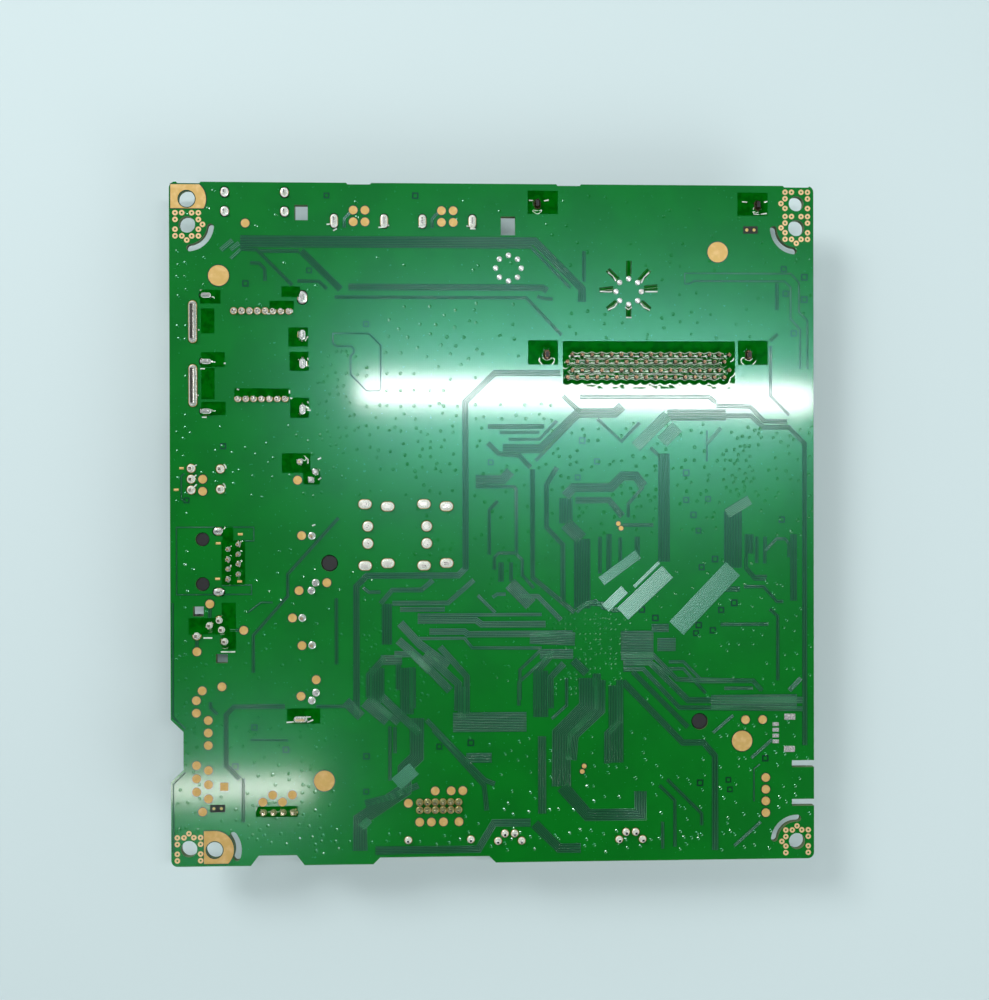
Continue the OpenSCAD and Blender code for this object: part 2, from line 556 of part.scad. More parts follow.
lower_bundles = [
  [[[58.5, -25.8], [71, -25.8], [73.4, -28.2], [73.4, -38]], 2],
  [[[41, -26.8], [46, -31.8], [46, -34], [55, -42.8], [66, -42.8]], 6],
  [[[41, -33], [43.5, -35.5], [53, -46.4], [78, -46.4]], 5],
  [[[57, -49.2], [78, -49.2]], 3],
  [[[67, -40.5], [69.5, -43.4], [76.8, -43.4], [78.2, -42]], 2],
  [[[33, -41], [48.6, -57.5], [54, -57.5], [56.6, -60.5], [56.6, -84.6]], 4],
  [[[11.5, -36.5], [11.5, -47.2], [7.7, -51], [-11, -51]], 8],
  [[[24, -41], [24, -47], [17.2, -54], [17.2, -68], [24.5, -75.5], [33.5, -75.5]], 8],
  [[[37.5, -78], [37.5, -69]], 2],
  [[[11.5, -56], [11.5, -74.5], [20, -83]], 4],
  [[[30, -44.5], [30, -61.5]], 8],
  [[[-20.5, -47], [-20.5, -59], [-24.5, -63], [-24.5, -68.5], [-35, -76], [-35, -84.5]], 8],
  [[[-31.2, -84.2], [-4.5, -84.2], [-2.2, -81.6], [-2.2, -79.5], [-0.5, -77.2], [11, -77.2]], 3],
  [[[-26.8, -52], [-26.8, -62]], 2],
  [[[-26, -17.2], [-13, -17.2]], 3],
  [[[-21.5, -23.2], [5, -23.2]], 5], [[[-18, -26.8], [11, -26.8]], 5], [[[-6, -31.5], [11, -31.5]], 5],
  [[[-28, -21.8], [-28, -31]], 5],
  [[[-70, -44], [-71, -45], [-71, -47.5]], 2],
  [[[-53.5, -47], [-67, -47], [-69, -49], [-69, -61.5], [-65.5, -65], [-65.5, -76.5]], 3],
  [[[-44, -47.5], [-39, -47.5]], 3],
  [[[-62.5, -55.5], [-53, -55.5]], 2],
  [[[-40.8, -19], [-40.8, -36]], 2]];

// Flat shapes that tracks and film leave free: the joints, pads and holes with a small clearance
free_gap = 0.05;
module joint_places() {
  for (s = round_sets, p = s[0]) translate(p) circle(r = s[1][0] + free_gap);
  for (s = long_sets, p = s[0]) translate(p) rotate(s[1][4])
    round_bar(s[1][0] + 2 * free_gap, s[1][1] + 2 * free_gap);
}
module pad_places() {
  for (p = small_pad_pts) translate(p) circle(d = test_pad_d + 2 * free_gap, $fn = 24);
  for (p = probe_pts) translate(p) circle(d = probe_disc_d + 2 * free_gap);
  for (p = post_pts) translate(p) circle(d = post_hole_d);
}
module film_places() for (w = film_windows) translate([w[0], w[1]]) square([w[2] - w[0], w[3] - w[1]]);
module track_layer(bundles) over([0, 0]) linear_extrude(track_h) difference() {
  for (b = bundles) bundle(b[0], b[1]);
  joint_places();
  pad_places();
  film_places();
}
// A wide ground track that shows only by its two edges
ground_route = [[50.5, 63.5], [76, 63.5], [78, 61.5], [78, 54], [80.2, 51.5], [80.2, 42]];
ground_track_w = 2;
module tracks_upper() color([0.1, 0.52, 0.25]) {
  track_layer(upper_bundles);
  over([0, 0]) linear_extrude(track_h)
    for (s = [-1, 1]) line(beside(ground_route, s * ground_track_w / 2), track_w);
}
module tracks_lower() color([0.1, 0.52, 0.25]) track_layer(lower_bundles);

// Windows of the soldering frame, glossy with dried flux, each placed by the joint or part it
// opens round: [x0, y0, x1, y1] from the place, its x measures turned over where side is -1
function window(p, w, side = 1) = side > 0 ? [p[0] + w[0], p[1] + w[1], p[0] + w[2], p[1] + w[3]] :
  [p[0] - w[2], p[1] + w[1], p[0] - w[0], p[1] + w[3]];
film_windows = [window(guide_foot_pts[0], [-2.5, -2.5, 5.3, 3.5]),
  window(guide_foot_pts[1], [-2.7, -2.6, 5.2, 3.4], -1),
  window(header_foot_pts[0], [-4.9, -2.5, 2.9, 3.8]),
  window(header_foot_pts[1], [-5.1, -2.5, 2.7, 3.8], -1),
  window([card_x, header_y], [-22.1, -8.7, 22.7, 3.6]),
  window(socket_foot_pt(0), [-1.5, -2.1, 3.7, 1.4]),
  window([flange_x, aerial_y[0]], [2.1, -3, 5.5, 3.4]),
  window(tuner_pin_pts(0)[tuner_pins - 1], [-4.9, 0.4, 1.3, 2.6]),
  window(can_foot_pts(0)[1], [-5.3, 0.1, -0.5, 2.8]),
  window(can_foot_pts(0)[0], [-3.6, -3, 1.4, 1.9]),
  window(can_foot_pts(1)[1], [-3.3, -1.9, 1.6, 3]),
  window(can_foot_pts(1)[0], [-3.2, -2.2, 1.6, 3]),
  window(socket_foot_pt(1), [-1.3, -1.4, 4.7, 2.4]),
  window([flange_x, aerial_y[1]], [2.1, -3.5, 5.5, 4.5]),
  window(low_foot_pt, [-1.3, -1, 4.9, 2.4]),
  window([can_x, tuner_row_y[1]], [9.6, 0.4, 23.6, 2.6]),
  window([lan_row_x[1], lan_y], [-1.7, -6, 4.3, 5.5]),
  window([lan_row_x[1], lan_y + 5.4], [-1.3, 0, 1.3, 3.6]),
  window([left_x, av_y], [4.6, 0.4, 14.5, 4.6]),
  window([left_x, av_y], [13, -3.6, 16.6, 8.4]),
  window(clip_pts[0], [-4.6, -2.8, 2.6, 2.2]),
  window(cap_pts[0], [-2.6, -2.2, 1.7, 1.6]),
  window(last_clip_pt, [-3.4, -1.2, 5, 2.8]),
  window(speaker_pt, [-5.8, -1.2, 4.9, 1.5])];
module flux_film() color([0.0, 0.34, 0.08]) over([0, 0]) linear_extrude(film_t) difference() {
  film_places();
  joint_places();
  pad_places();
}

// ---------------------------------------------------------------- card slot

// Two rails with a groove for the card's edges, joined by a bridge at the mouth and one at the back
card_z = 2.4;
guide_l = 40;
bridge_l = 4.5;
bridge_back_l = 3.3;
groove_d = 1.2;
module card_guide() color([0.08, 0.08, 0.09]) {
  under([card_x, top_y], -90) difference() {
    union() {
      for (s = [-1, 1]) translate([0.3, s * rail_mid - rail_w / 2, seat_gap])
        cube([guide_l, rail_w, guide_h - seat_gap]);
      bar(0.3, card_w + 2, seat_gap, bridge_l, card_z - fit_gap - seat_gap);
      bar(guide_l + 0.3 - bridge_back_l, card_w + 2, seat_gap, bridge_back_l, 1.2);
    }
    bar(-1, card_w + 2 * fit_gap, card_z, guide_l + 3, guide_h);
    bar(-1, card_w + 2 * fit_gap + 2 * groove_d, card_z, guide_l - 1, card_t + 2 * fit_gap);
    for (i = [0:3]) bar(9 + i * 8, card_w + 2 * rail_w + 1, guide_h - 0.9, 3, 2);
  }
  for (p = guide_foot_pts) blade(p, guide_joint[2], guide_joint[3], guide_joint[4]);
}

// Pressed steel cover over the guide, with a window and bent edges
module card_cover() color([0.78, 0.79, 0.8]) under([card_x, top_y], -90) {
  outer = card_w + 2 * fit_gap + 2 * rail_w;
  difference() {
    union() {
      bar(3, outer, guide_h + 0.02, guide_l - 6, sheet_t);
      for (s = [-1, 1]) translate([3, s * (outer / 2 + fit_gap + sheet_t / 2) - sheet_t / 2, guide_h - 4])
        cube([guide_l - 6, sheet_t, 4.02 + sheet_t]);
      for (s = [-1, 1]) translate([3, s * (outer / 2 + fit_gap / 2) - fit_gap / 2 - eps, guide_h + 0.02])
        cube([guide_l - 6, fit_gap + 2 * eps, sheet_t]);
    }
    for (s = [-1, 1]) translate([18, s * 13, guide_h - 1]) linear_extrude(4) circle(d = 14);
    translate([3 + guide_l - 6, 0, guide_h - 1]) linear_extrude(4) circle(d = 16);
  }
}

// Header block behind the card, its pins forward into the card and back down to the board
pin_levels = [4.1, 5.7];
header_front = top_y - header_y - 3;
header_t = 2.4;
pin_reach = 5;
ear_l = 6;
ear_w = 2.6;
function pin_level(r) = pin_levels[r < 2 ? 0 : 1];
// Route of one pin of row r, in from the board's edge and down from its component face
function pin_route(r) = let(x = top_y - header_y + row_steps[r])
  [[header_front - pin_reach, pin_level(r)], [x, pin_level(r)], [x, -lead_end]];
module card_header() color([0.1, 0.1, 0.11]) {
  under([card_x, top_y], -90) difference() {
    union() {
      bar(header_front, card_w - 1, seat_gap, header_t, guide_h - 0.6);
      for (s = [-1, 1]) translate([header_front + header_t - eps, s * header_foot_x - ear_w / 2, seat_gap])
        cube([ear_l, ear_w, guide_h - 3]);
    }
    for (r = [0:3], p = card_row(r)) translate([header_front - 1, p[0] - card_x - card_pin_w / 2,
      pin_level(r) - card_pin_w / 2]) cube([header_t + 2, card_pin_w, card_pin_w]);
  }
  for (p = header_foot_pts) blade(p, guide_joint[2], guide_joint[3], guide_joint[4]);
}
module card_pins() color([0.85, 0.74, 0.4])
  for (r = [0:3], p = card_row(r)) under([p[0], top_y], -90)
    bent_strip(pin_route(r), card_pin_w, card_pin_w);
module card_solder() color([0.8, 0.81, 0.83]) {
  round_joints(round_sets[0]);
  long_joints(long_sets[2]);
}

// ---------------------------------------------------------------- tuners

module tuner_can(n) color([0.76, 0.77, 0.79]) {
  under([can_x, tuner_y[n]]) difference() {
    union() {
      bar(0, can_w, seat_gap, can_l, stand_h - seat_gap);
      bar(-0.02, can_w + 0.3, stand_h - 3.2, can_l + 0.17, 0.4);
    }
    bar(sheet_t, can_w - 2 * sheet_t, -1, can_l - 2 * sheet_t, stand_h - sheet_t + 1);
    for (s = [-1, 1]) translate([can_l / 2 - 6, s * can_w / 2 - 1, 3]) cube([12, 2, 0.6]);
  }
  for (p = can_foot_pts(n)) blade(p, can_joint[2], can_joint[3], can_joint[4]);
  blade(socket_foot_pt(n), side_joint[2], side_joint[3]);
  if (n == 1) blade(low_foot_pt, side_joint[2], side_joint[3]);
}

// Threaded barrel on a flange whose lower end stands in a slot of the board
aerial_z = 6.8;
barrel_l = 5.2;
thread_step = 0.7;
module tuner_socket(n) color([0.83, 0.84, 0.85]) {
  under([left_x, aerial_y[n]]) difference() {
    union() {
      translate([flange_x - left_x - blade_t / 2, -flange_l / 2, -lead_end])
        cube([blade_t, flange_l, lead_end + aerial_z + flange_l / 2]);
      translate([0.2, 0, aerial_z]) rotate([0, 90, 0]) cylinder(d = aerial_d - 0.7, h = barrel_l + 0.2);
      for (i = [0:5]) translate([0.5 + i * thread_step, 0, aerial_z]) rotate([0, 90, 0])
        cylinder(d = aerial_d, h = thread_step / 2);
    }
    translate([-1, 0, aerial_z]) rotate([0, 90, 0]) cylinder(d = aerial_bore, h = 9);
  }
}
module tuner_insulator(n) color([0.93, 0.92, 0.88]) under([left_x, aerial_y[n]])
  translate([0, 0, aerial_z]) rotate([0, 90, 0]) difference() {
    translate([0, 0, 1.6]) cylinder(d = aerial_bore, h = flange_x - left_x + blade_t / 2 - 1.6);
    cylinder(d = 1, h = 5);
    translate([0, 0, 1.5]) cylinder(d1 = 3.4, d2 = 1, h = 1.2);
  }
module tuner_pin_row(n) color([0.85, 0.83, 0.75])
  for (p = tuner_pin_pts(n)) lead(p, tuner_joint[1], 3);
module tuner_solder() color([0.8, 0.81, 0.83]) {
  for (i = [1, 2]) round_joints(round_sets[i]);
  for (i = [3, 4, 8]) long_joints(long_sets[i]);
}
module tuner_1_can() tuner_can(0);
module tuner_2_can() tuner_can(1);
module tuner_1_socket() tuner_socket(0);
module tuner_2_socket() tuner_socket(1);
module tuner_1_insulator() tuner_insulator(0);
module tuner_2_insulator() tuner_insulator(1);
module tuner_1_pins() tuner_pin_row(0);
module tuner_2_pins() tuner_pin_row(1);

// ---------------------------------------------------------------- network socket

lan_floor = 3;
lan_chamber_w = 10.4;
module lan_housing() color([0.07, 0.07, 0.08]) {
  under([left_x, lan_y]) difference() {
    bar(0.4, lan_w - 2 * sheet_t - 2 * fit_gap, seat_gap, lan_l - 0.4 - sheet_t - fit_gap,
      stand_h - sheet_t - fit_gap - seat_gap);
    bar(-1, lan_open_w, lan_floor, 14, lan_open_h);
    bar(-1, 6.2, lan_floor, 13, lan_open_h + 1.5);
    bar(-1, 3.6, lan_floor, 12, lan_open_h + 2.4);
    bar(4.4, lan_chamber_w, -1, lan_l - 6, lan_floor + 1.1);
  }
  for (p = peg_pts) translate([p[0], p[1], comp_z - seat_gap - eps])
    cylinder(d = peg_d, h = board_t + seat_gap - 0.25);
}
module lan_shield() color([0.78, 0.79, 0.8]) {
  under([left_x, lan_y]) difference() {
    bar(0.1, lan_w, 0.3, lan_l - 0.1, stand_h - 0.3);
    bar(0.1 + sheet_t, lan_w - 2 * sheet_t, -1, lan_l - 0.1 - 2 * sheet_t, stand_h - sheet_t + 1);
    bar(-1, lan_open_w, lan_floor, 3, lan_open_h);
    bar(-1, 6.2, lan_floor, 3, lan_open_h + 1.5);
    bar(-1, 12.6, -1, 3, lan_floor - 0.4);
    for (s = [-1, 1]) translate([4, s * lan_w / 2 - 1, 5]) cube([5, 2, 0.7]);
    for (s = [-1, 1]) translate([4, s * lan_w / 2 - 1, 8]) cube([5, 2, 0.7]);
  }
  for (p = lan_foot_pts) blade(p, lan_shield_joint[2], lan_shield_joint[3], 0, 0.6);
}
module lan_contacts() color([0.87, 0.74, 0.38]) for (p = lan_pts) under([0, p[1]])
  bent_strip([[p[0], -lead_end], [p[0], 1.2], [left_x + 5.4, 1.2], [left_x + 9.6, 5.2]],
    lan_joint[1], lan_joint[1]);
module lan_solder() color([0.8, 0.81, 0.83]) {
  round_joints(round_sets[3]);
  long_joints(long_sets[5]);
}

// A chip body l by w and h high with leads along its two long sides
module leaded_chip(l, w, h, count, pitch, lead_w, reach) {
  bar(-l / 2, w, 0.15, l, h);
  for (s = [-1, 1], i = [0:count - 1])
    translate([(i - (count - 1) / 2) * pitch, s * w / 2, 0]) rotate([0, 0, s * 90])
      bent_strip([[-0.1, h / 2], [reach * 0.4, h / 2], [reach * 0.55, 0.1], [reach, 0.1]], 0.18, lead_w);
}
transformer_x = left_x + 28;
transformer_l = 12.6;
module lan_transformer() color([0.1, 0.1, 0.1]) under([transformer_x, lan_y], 90)
  leaded_chip(transformer_l, 7, 4.6, 8, lan_pitch, 0.45, 1.4);

// ---------------------------------------------------------------- data and video sockets

module usb_shell(n) color([0.8, 0.81, 0.82]) {
  under([usb_x[n], top_y], -90) difference() {
    bar(0.2, usb_w, 0.4, usb_l, usb_h);
    bar(0.2 - 1, usb_w - 2 * sheet_t, 0.4 + sheet_t, usb_l + 2, usb_h - 2 * sheet_t);
    for (s = [-1, 1]) translate([3.4, s * 2.9 - 1, usb_h]) cube([5, 2, 2]);
    for (s = [-1, 1]) translate([3.4, s * usb_w / 2 - 1, 2.4]) cube([4, 2, 1.6]);
  }
  for (s = [-1, 1]) blade([usb_x[n] + s * (usb_w - sheet_t) / 2, top_y - 9.8], usb_joint[2],
    usb_joint[3], usb_joint[4], 0.6);
}
// Plastic block that closes the back of the shell and carries the tongue
tongue_z = 3.6;
tongue_t = 1.8;
module usb_tongue(n) color([0.94, 0.94, 0.92]) under([usb_x[n], top_y], -90) difference() {
  union() {
    bar(usb_l - 3, usb_w - 2 * sheet_t - 2 * fit_gap, 0.4 + sheet_t + fit_gap, 3,
      usb_h - 2 * sheet_t - 2 * fit_gap);
    bar(1.6, 11, tongue_z, usb_l - 4.5, tongue_t);
  }
  for (y = [-3.5, -1, 1, 3.5]) translate([2.6, y - 0.6, tongue_z - eps]) cube([usb_l, 1.2, 0.3]);
}
module usb_contacts() color([0.87, 0.74, 0.38]) for (x = usb_x) under([x, top_y], -90)
  for (y = [-3.5, -1, 1, 3.5]) translate([0, y, 0])
    bent_strip([[3, tongue_z + 0.15], [usb_l + 0.7, tongue_z + 0.15], [usb_l + 0.7, 0.1],
      [usb_l + 2, 0.1]], 0.2, 1);
module usb_1_shell() usb_shell(0);
module usb_2_shell() usb_shell(1);
module usb_1_tongue() usb_tongue(0);
module usb_2_tongue() usb_tongue(1);

// Outline of the video socket's mouth, g smaller all round
function video_mouth(g) = let(w = video_w / 2 - g, h = video_h - 2 * g)
  [[-w + 1.6, 0], [w - 1.6, 0], [w, 1.8], [w, h], [-w, h], [-w, 1.8]];
video_lift = 0.3;
module video_prism(g, x0, x1) translate([x0, 0, video_lift + g]) rotate([90, 0, 90])
  linear_extrude(x1 - x0) polygon(video_mouth(g));
module video_shell() color([0.79, 0.8, 0.81]) {
  under([video_x, top_y], -90) difference() {
    union() {
      video_prism(0, 0.2, video_l);
      for (s = [-1, 1], d = [2.6, 7.5]) translate([d - 0.4, s * (video_w / 2 + 0.14) - 0.15, 1.8])
        cube([0.8, 0.3, 2.4]);
    }
    video_prism(sheet_t, -1, video_l + 1);
    for (s = [-1, 1]) translate([2.6, s * 3.4 - 0.8, video_h - 0.5]) cube([4.5, 1.6, 2]);
  }
  for (p = video_foot_pts) blade(p, video_joint[2], video_joint[3], video_joint[4], 3);
}
module video_tongue() color([0.09, 0.09, 0.1]) under([video_x, top_y], -90) {
  video_prism(sheet_t + fit_gap, video_l - 3, video_l + 0.4);
  bar(1.4, 11.4, 3.4, video_l - 4, 1);
  for (i = [-9:9]) translate([video_l + 0.1, i * 0.6 - 0.12, 0]) cube([1.3, 0.24, 0.8]);
}
module socket_solder() color([0.8, 0.81, 0.83]) {
  for (i = [0, 1]) long_joints(long_sets[i]);
  round_joints(round_sets[8]);
}

// ---------------------------------------------------------------- round plug sockets

// Plug socket l long, w wide and h high with a collar round its bore
module plug_socket(l, w, h, front, collar = 1.2) difference() {
  union() {
    bar(front + collar, w, seat_gap, l - collar, h - seat_gap);
    translate([front, 0, h / 2]) rotate([0, 90, 0]) cylinder(d = min(w, h) - 1, h = 2);
    bar(front + 4, w + 0.6, seat_gap, 1.2, h * 0.7);
  }
  translate([front - 1, 0, h / 2]) rotate([0, 90, 0]) cylinder(d = jack_bore, h = l - 1);
  bar(front + l - 3.4, w - 2, h - 0.8, 2, 2);
}
module headphone_jack() color([0.06, 0.06, 0.07]) under([left_x, headphone_y])
  plug_socket(12, 7.8, 5.4, jack_cut_d - 0.4, 0);
module audio_jack() color([0.07, 0.07, 0.08]) under([left_x, audio_y])
  plug_socket(14.4, 9, 9, 0.2);
module av_jack() color([0.07, 0.07, 0.08]) under([left_x, av_y])
  plug_socket(15.6, 8.6, 9, 0.2);
module jack_terminals() color([0.82, 0.82, 0.8]) for (p = round_sets[4][0]) lead(p, jack_joint[1]);
module jack_solder() color([0.84, 0.85, 0.87]) round_joints(round_sets[4]);

// ---------------------------------------------------------------- output coils

coil_base_t = 1.4;
coil_flange = 1.6;
coil_core_d = 3.6;
coil_base_w = 9;
module coil_cores() color([0.2, 0.2, 0.21]) for (p = coil_pts) under(p) {
  rotate_extrude() polygon([[0, seat_gap], [coil_base_w / 2, seat_gap], [coil_base_w / 2, coil_base_t],
    [coil_d / 2, coil_base_t + 0.2], [coil_d / 2, coil_base_t + coil_flange],
    [coil_core_d / 2, coil_base_t + coil_flange + 0.3], [coil_core_d / 2, coil_h - coil_flange - 0.3],
    [coil_d / 2, coil_h - coil_flange], [coil_d / 2, coil_h - 0.4], [coil_d / 2 - 0.4, coil_h], [0, coil_h]]);
}
// Copper wire wound on each core, and its ends, which stand in the board
winding_d = 7.6;
module coil_winding() {
  lo = coil_base_t + coil_flange + 0.4;
  turns = floor((coil_h - coil_flange - 0.4 - lo) / 0.8);
  rotate_extrude() polygon(concat([[coil_core_d / 2 + 0.02, lo]],
    [for (i = [0:turns - 1]) each [[winding_d / 2 - 0.25, lo + 0.8 * i], [winding_d / 2, lo + 0.8 * i + 0.25],
      [winding_d / 2, lo + 0.8 * i + 0.55], [winding_d / 2 - 0.25, lo + 0.8 * i + 0.79]]],
    [[coil_core_d / 2 + 0.02, lo + 0.8 * turns]]));
}
module coil_windings() color([0.72, 0.38, 0.16]) for (i = [0:3]) {
  under(coil_pts[i]) coil_winding();
  lead(coil_round_pt(i), coil_joint[1]);
  for (p = coil_long_pts(i)) blade(p, coil_long_joint[2], coil_long_joint[3]);
}
module coil_solder() color([0.92, 0.92, 0.93]) {
  round_joints(round_sets[5]);
  long_joints(long_sets[6]);
}

// ---------------------------------------------------------------- headers and ribbon connectors

// Open box with its pins standing inside
module shroud(l, w, h, wall, floor_t) difference() {
  translate([-l / 2, -w / 2, seat_gap]) cube([l, w, h - seat_gap]);
  translate([-l / 2 + wall, -w / 2 + wall, floor_t]) cube([l - 2 * wall, w - 2 * wall, h]);
}
speaker_h = 8;
power_h = 9;
pin_stand = 6.5;
header_floor = 2;
module speaker_header() color([0.92, 0.9, 0.84]) under(speaker_pt) difference() {
  shroud(4 * speaker_pitch + 2.4, 5.8, speaker_h, 0.8, header_floor);
  for (s = [-1, 1]) translate([s * 3 - 0.8, -4, 3.4]) cube([1.6, 2, 9]);
  for (i = [-1.5:1:1.5]) translate([i * speaker_pitch - 0.32, -0.32, -1]) cube([0.64, 0.64, 5]);
}
module power_header() color([0.93, 0.92, 0.88]) under(power_pt) difference() {
  shroud(6 * power_pitch + 3, 7.2, power_h, 0.9, header_floor);
  translate([-2, -5, 4]) cube([4, 3, 9]);
  for (i = [-2.5:1:2.5], s = [-1, 1])
    translate([i * power_pitch - 0.25, s * power_pitch / 2 - 0.25, -1]) cube([0.5, 0.5, 5]);
}
module header_pins() color([0.84, 0.8, 0.62]) {
  for (p = speaker_pts) lead(p, speaker_joint[1], pin_stand);
  for (p = power_pts) lead(p, power_joint[1], pin_stand);
}
module header_solder() color([0.8, 0.81, 0.83]) for (i = [6, 7]) round_joints(round_sets[i]);

// Low ribbon connector of half length a, its mouth towards the bottom edge
module ribbon_block(a, l, h) difference() {
  translate([-a, -l / 2, seat_gap]) cube([2 * a, l, h - seat_gap]);
  translate([-a + 1.4, -l / 2 - 1, h * 0.4]) cube([2 * a - 2.8, l * 0.75, 0.8]);
}
ribbon_h = 2.6;
strip_a = 7.2;
panel_a = 11.6;
module ribbon_housings() color([0.9, 0.88, 0.8]) {
  under([panel_x, panel_foot_y - 1]) ribbon_block(panel_a, 5, ribbon_h);
  under([strip_x, low_y + 6.1]) ribbon_block(strip_a, 4.4, ribbon_h);
  for (i = [-24:24]) under([panel_x + i * 0.44, panel_foot_y + 1.4]) translate([-0.1, 0, 0])
    cube([0.2, 1, 0.3]);
}
// Steel covers over the ribbon connectors with end plates that stand in the board
module ribbon_shells() color([0.77, 0.78, 0.8]) {
  under([panel_x, panel_foot_y - 0.9]) {
    translate([-panel_a - 8, -2.4, ribbon_h + 0.05]) cube([2 * panel_a + 16, 4.8, sheet_t]);
    for (s = [-1, 1]) translate([s * (panel_a + 4.1) - 3.9, -1.6, seat_gap])
      cube([7.8, 3.2, ribbon_h - seat_gap + 0.06]);
  }
  under([strip_x, low_y + 6.1]) {
    translate([-8.6, -2, ribbon_h + 0.05]) cube([17.2, 4, sheet_t]);
    for (s = [-1, 1]) translate([s * 8.05 - 0.55, -1, seat_gap]) cube([1.1, 2, ribbon_h]);
  }
  for (p = round_sets[8][0]) lead(p, foot_joint[1], 0.4);
}

// ---------------------------------------------------------------- processor and cooling

sink_z = cpu_t + gap_pad_t;
module processor() color([0.12, 0.12, 0.13]) under(cpu_pt) {
  bar(-cpu_w / 2, cpu_w, 0.3, cpu_w, 0.6);
  bar(-cpu_w / 2 + 1.5, cpu_w - 3, 0.89, cpu_w - 3, cpu_t - 0.89);
  for (i = [-6:6], j = [-6:6]) if (abs(i) > 3 || abs(j) > 3)
    translate([i * cpu_w / 14, j * cpu_w / 14, 0]) cylinder(d = 0.8, h = 0.31, $fn = 8);
}
module thermal_pad() color([0.55, 0.58, 0.62]) under(cpu_pt)
  bar(-cpu_w / 2 + 3, cpu_w - 6, cpu_t, cpu_w - 6, gap_pad_t);
module heat_sink() color([0.1, 0.1, 0.11]) under(cpu_pt) {
  bar(-sink_w / 2, sink_w, sink_z, sink_w, sink_base_t);
  for (i = [0:fin_count - 1]) let(x = -sink_w / 2 + i * (sink_w - fin_t) / (fin_count - 1))
    translate([x, -sink_w / 2, sink_z + sink_base_t - eps])
      cube([fin_t, sink_w, stand_h - sink_z - sink_base_t + eps]);
}
memory_pts = [[[20, 4], 0], [[37, 4], 0], [[59, 10], 90]];
module memory_chips() color([0.1, 0.1, 0.11]) for (m = memory_pts) under(m[0], m[1]) {
  bar(-5, 13, 0.25, 10, 0.95);
  for (i = [-3, -2, 2, 3], j = [-5:5]) translate([i * 0.9, j * 1.1, 0]) cylinder(d = 0.5, h = 0.26, $fn = 6);
}
amp_pt = [-23, -18];
module amplifier() color([0.1, 0.1, 0.11]) under(amp_pt) difference() {
  union() {
    bar(-3.5, 7, 0.15, 7, 1);
    for (a = [0:90:270]) rotate([0, 0, a]) for (i = [-5:5]) translate([3.4, i * 0.55, 0])
      bent_strip([[0, 0.6], [0.5, 0.6], [0.7, 0.1], [1.3, 0.1]], 0.15, 0.24);
  }
  translate([-2.6, 2.6, 1.05]) cylinder(d = 0.7, h = 1, $fn = 16);
}

// ---------------------------------------------------------------- capacitors, coils and small parts

// Aluminium can with its crimp, top bevel and vent cross
module can_capacitor(d, h, foot) difference() {
  translate([0, 0, foot]) rotate_extrude() polygon([[0, 0], [d / 2 - 0.2, 0], [d / 2, 0.2], [d / 2, 1.2],
    [d / 2 - 0.3, 1.5], [d / 2, 1.8], [d / 2, h - 0.4], [d / 2 - 0.4, h], [0, h]]);
  for (a = [0, 90]) rotate([0, 0, a]) translate([-d / 4, -0.1, foot + h - 0.15]) cube([d / 2, 0.2, 1]);
}
chip_cap_pts = [[-10, 26], [-10, 18], [0, 30], [46, -62], [left_x + 25, 22],
  [speaker_pt[0] - 2.3, speaker_pt[1] + 11.8]];
chip_cap_w = 6.6;
module capacitors() color([0.72, 0.73, 0.75]) {
  for (p = cap_pts) under(p) can_capacitor(cap_d, cap_h, 0.3);
  for (p = cap_lead_pts) lead(p, cap_joint[1], 0.35);
  for (p = chip_cap_pts) under(p) {
    translate([-chip_cap_w / 2, -chip_cap_w / 2, seat_gap]) cube([chip_cap_w, chip_cap_w, 0.8]);
    can_capacitor(6, 5.4, seat_gap + 0.79);
  }
}
chip_coil_pts = [[-24, 30], [-24, 40], [-16, 52], [6, 42], [62, -34], [-36, top_y - 25.5]];
chip_coil_w = 7;
chip_coil_h = 3.6;
module chip_coils() color([0.28, 0.28, 0.3]) for (p = chip_coil_pts) under(p) {
  w = chip_coil_w / 2;
  c = 1.2;
  translate([0, 0, seat_gap]) linear_extrude(chip_coil_h - seat_gap)
    polygon([[-w + c, -w], [w - c, -w], [w, -w + c], [w, w - c], [w - c, w], [-w + c, w], [-w, w - c],
      [-w, -w + c]]);
  for (s = [-1, 1]) translate([s * (w - 0.5) - 0.6, -1.1, 0]) cube([1.2, 2.2, 0.4]);
}

// Black posts on the component side, each with a peg in the board
module support_posts() color([0.05, 0.05, 0.06]) for (p = post_pts) under(p) difference() {
  rotate_extrude() polygon([[0, -board_t + 0.3], [post_hole_d / 2 - 0.25, -board_t + 0.3],
    [post_hole_d / 2 - 0.12, -board_t + 0.7], [post_hole_d / 2 - 0.12, 0], [post_d / 2, 0], [post_d / 2, 1],
    [post_d / 2 - 0.8, 2], [post_d / 2 - 0.8, stand_h - 1.4], [post_d / 2 - 0.2, stand_h - 0.8],
    [post_d / 2 - 0.2, stand_h], [0, stand_h]]);
  translate([0, 0, stand_h - 5]) cylinder(d = 2.4, h = 6);
}

// Bent spring clips that earth the board to the chassis
clip_route = [[0.9, 0.2], [-3, 0.2], [-3.6, 0.8], [-3.2, 3.6], [-1.4, 5], [0.4, 4.4], [0.8, 3.4]];
module ground_clips() color([0.86, 0.84, 0.76]) {
  for (p = concat(clip_pts, [last_clip_pt])) under(p) bent_strip(clip_route, 0.2, 2.6);
  for (p = clip_pts) lead(p, cap_joint[1], 0.15);
  blade(last_clip_pt, clip_long_joint[2], clip_long_joint[3], 0, 0.15);
}

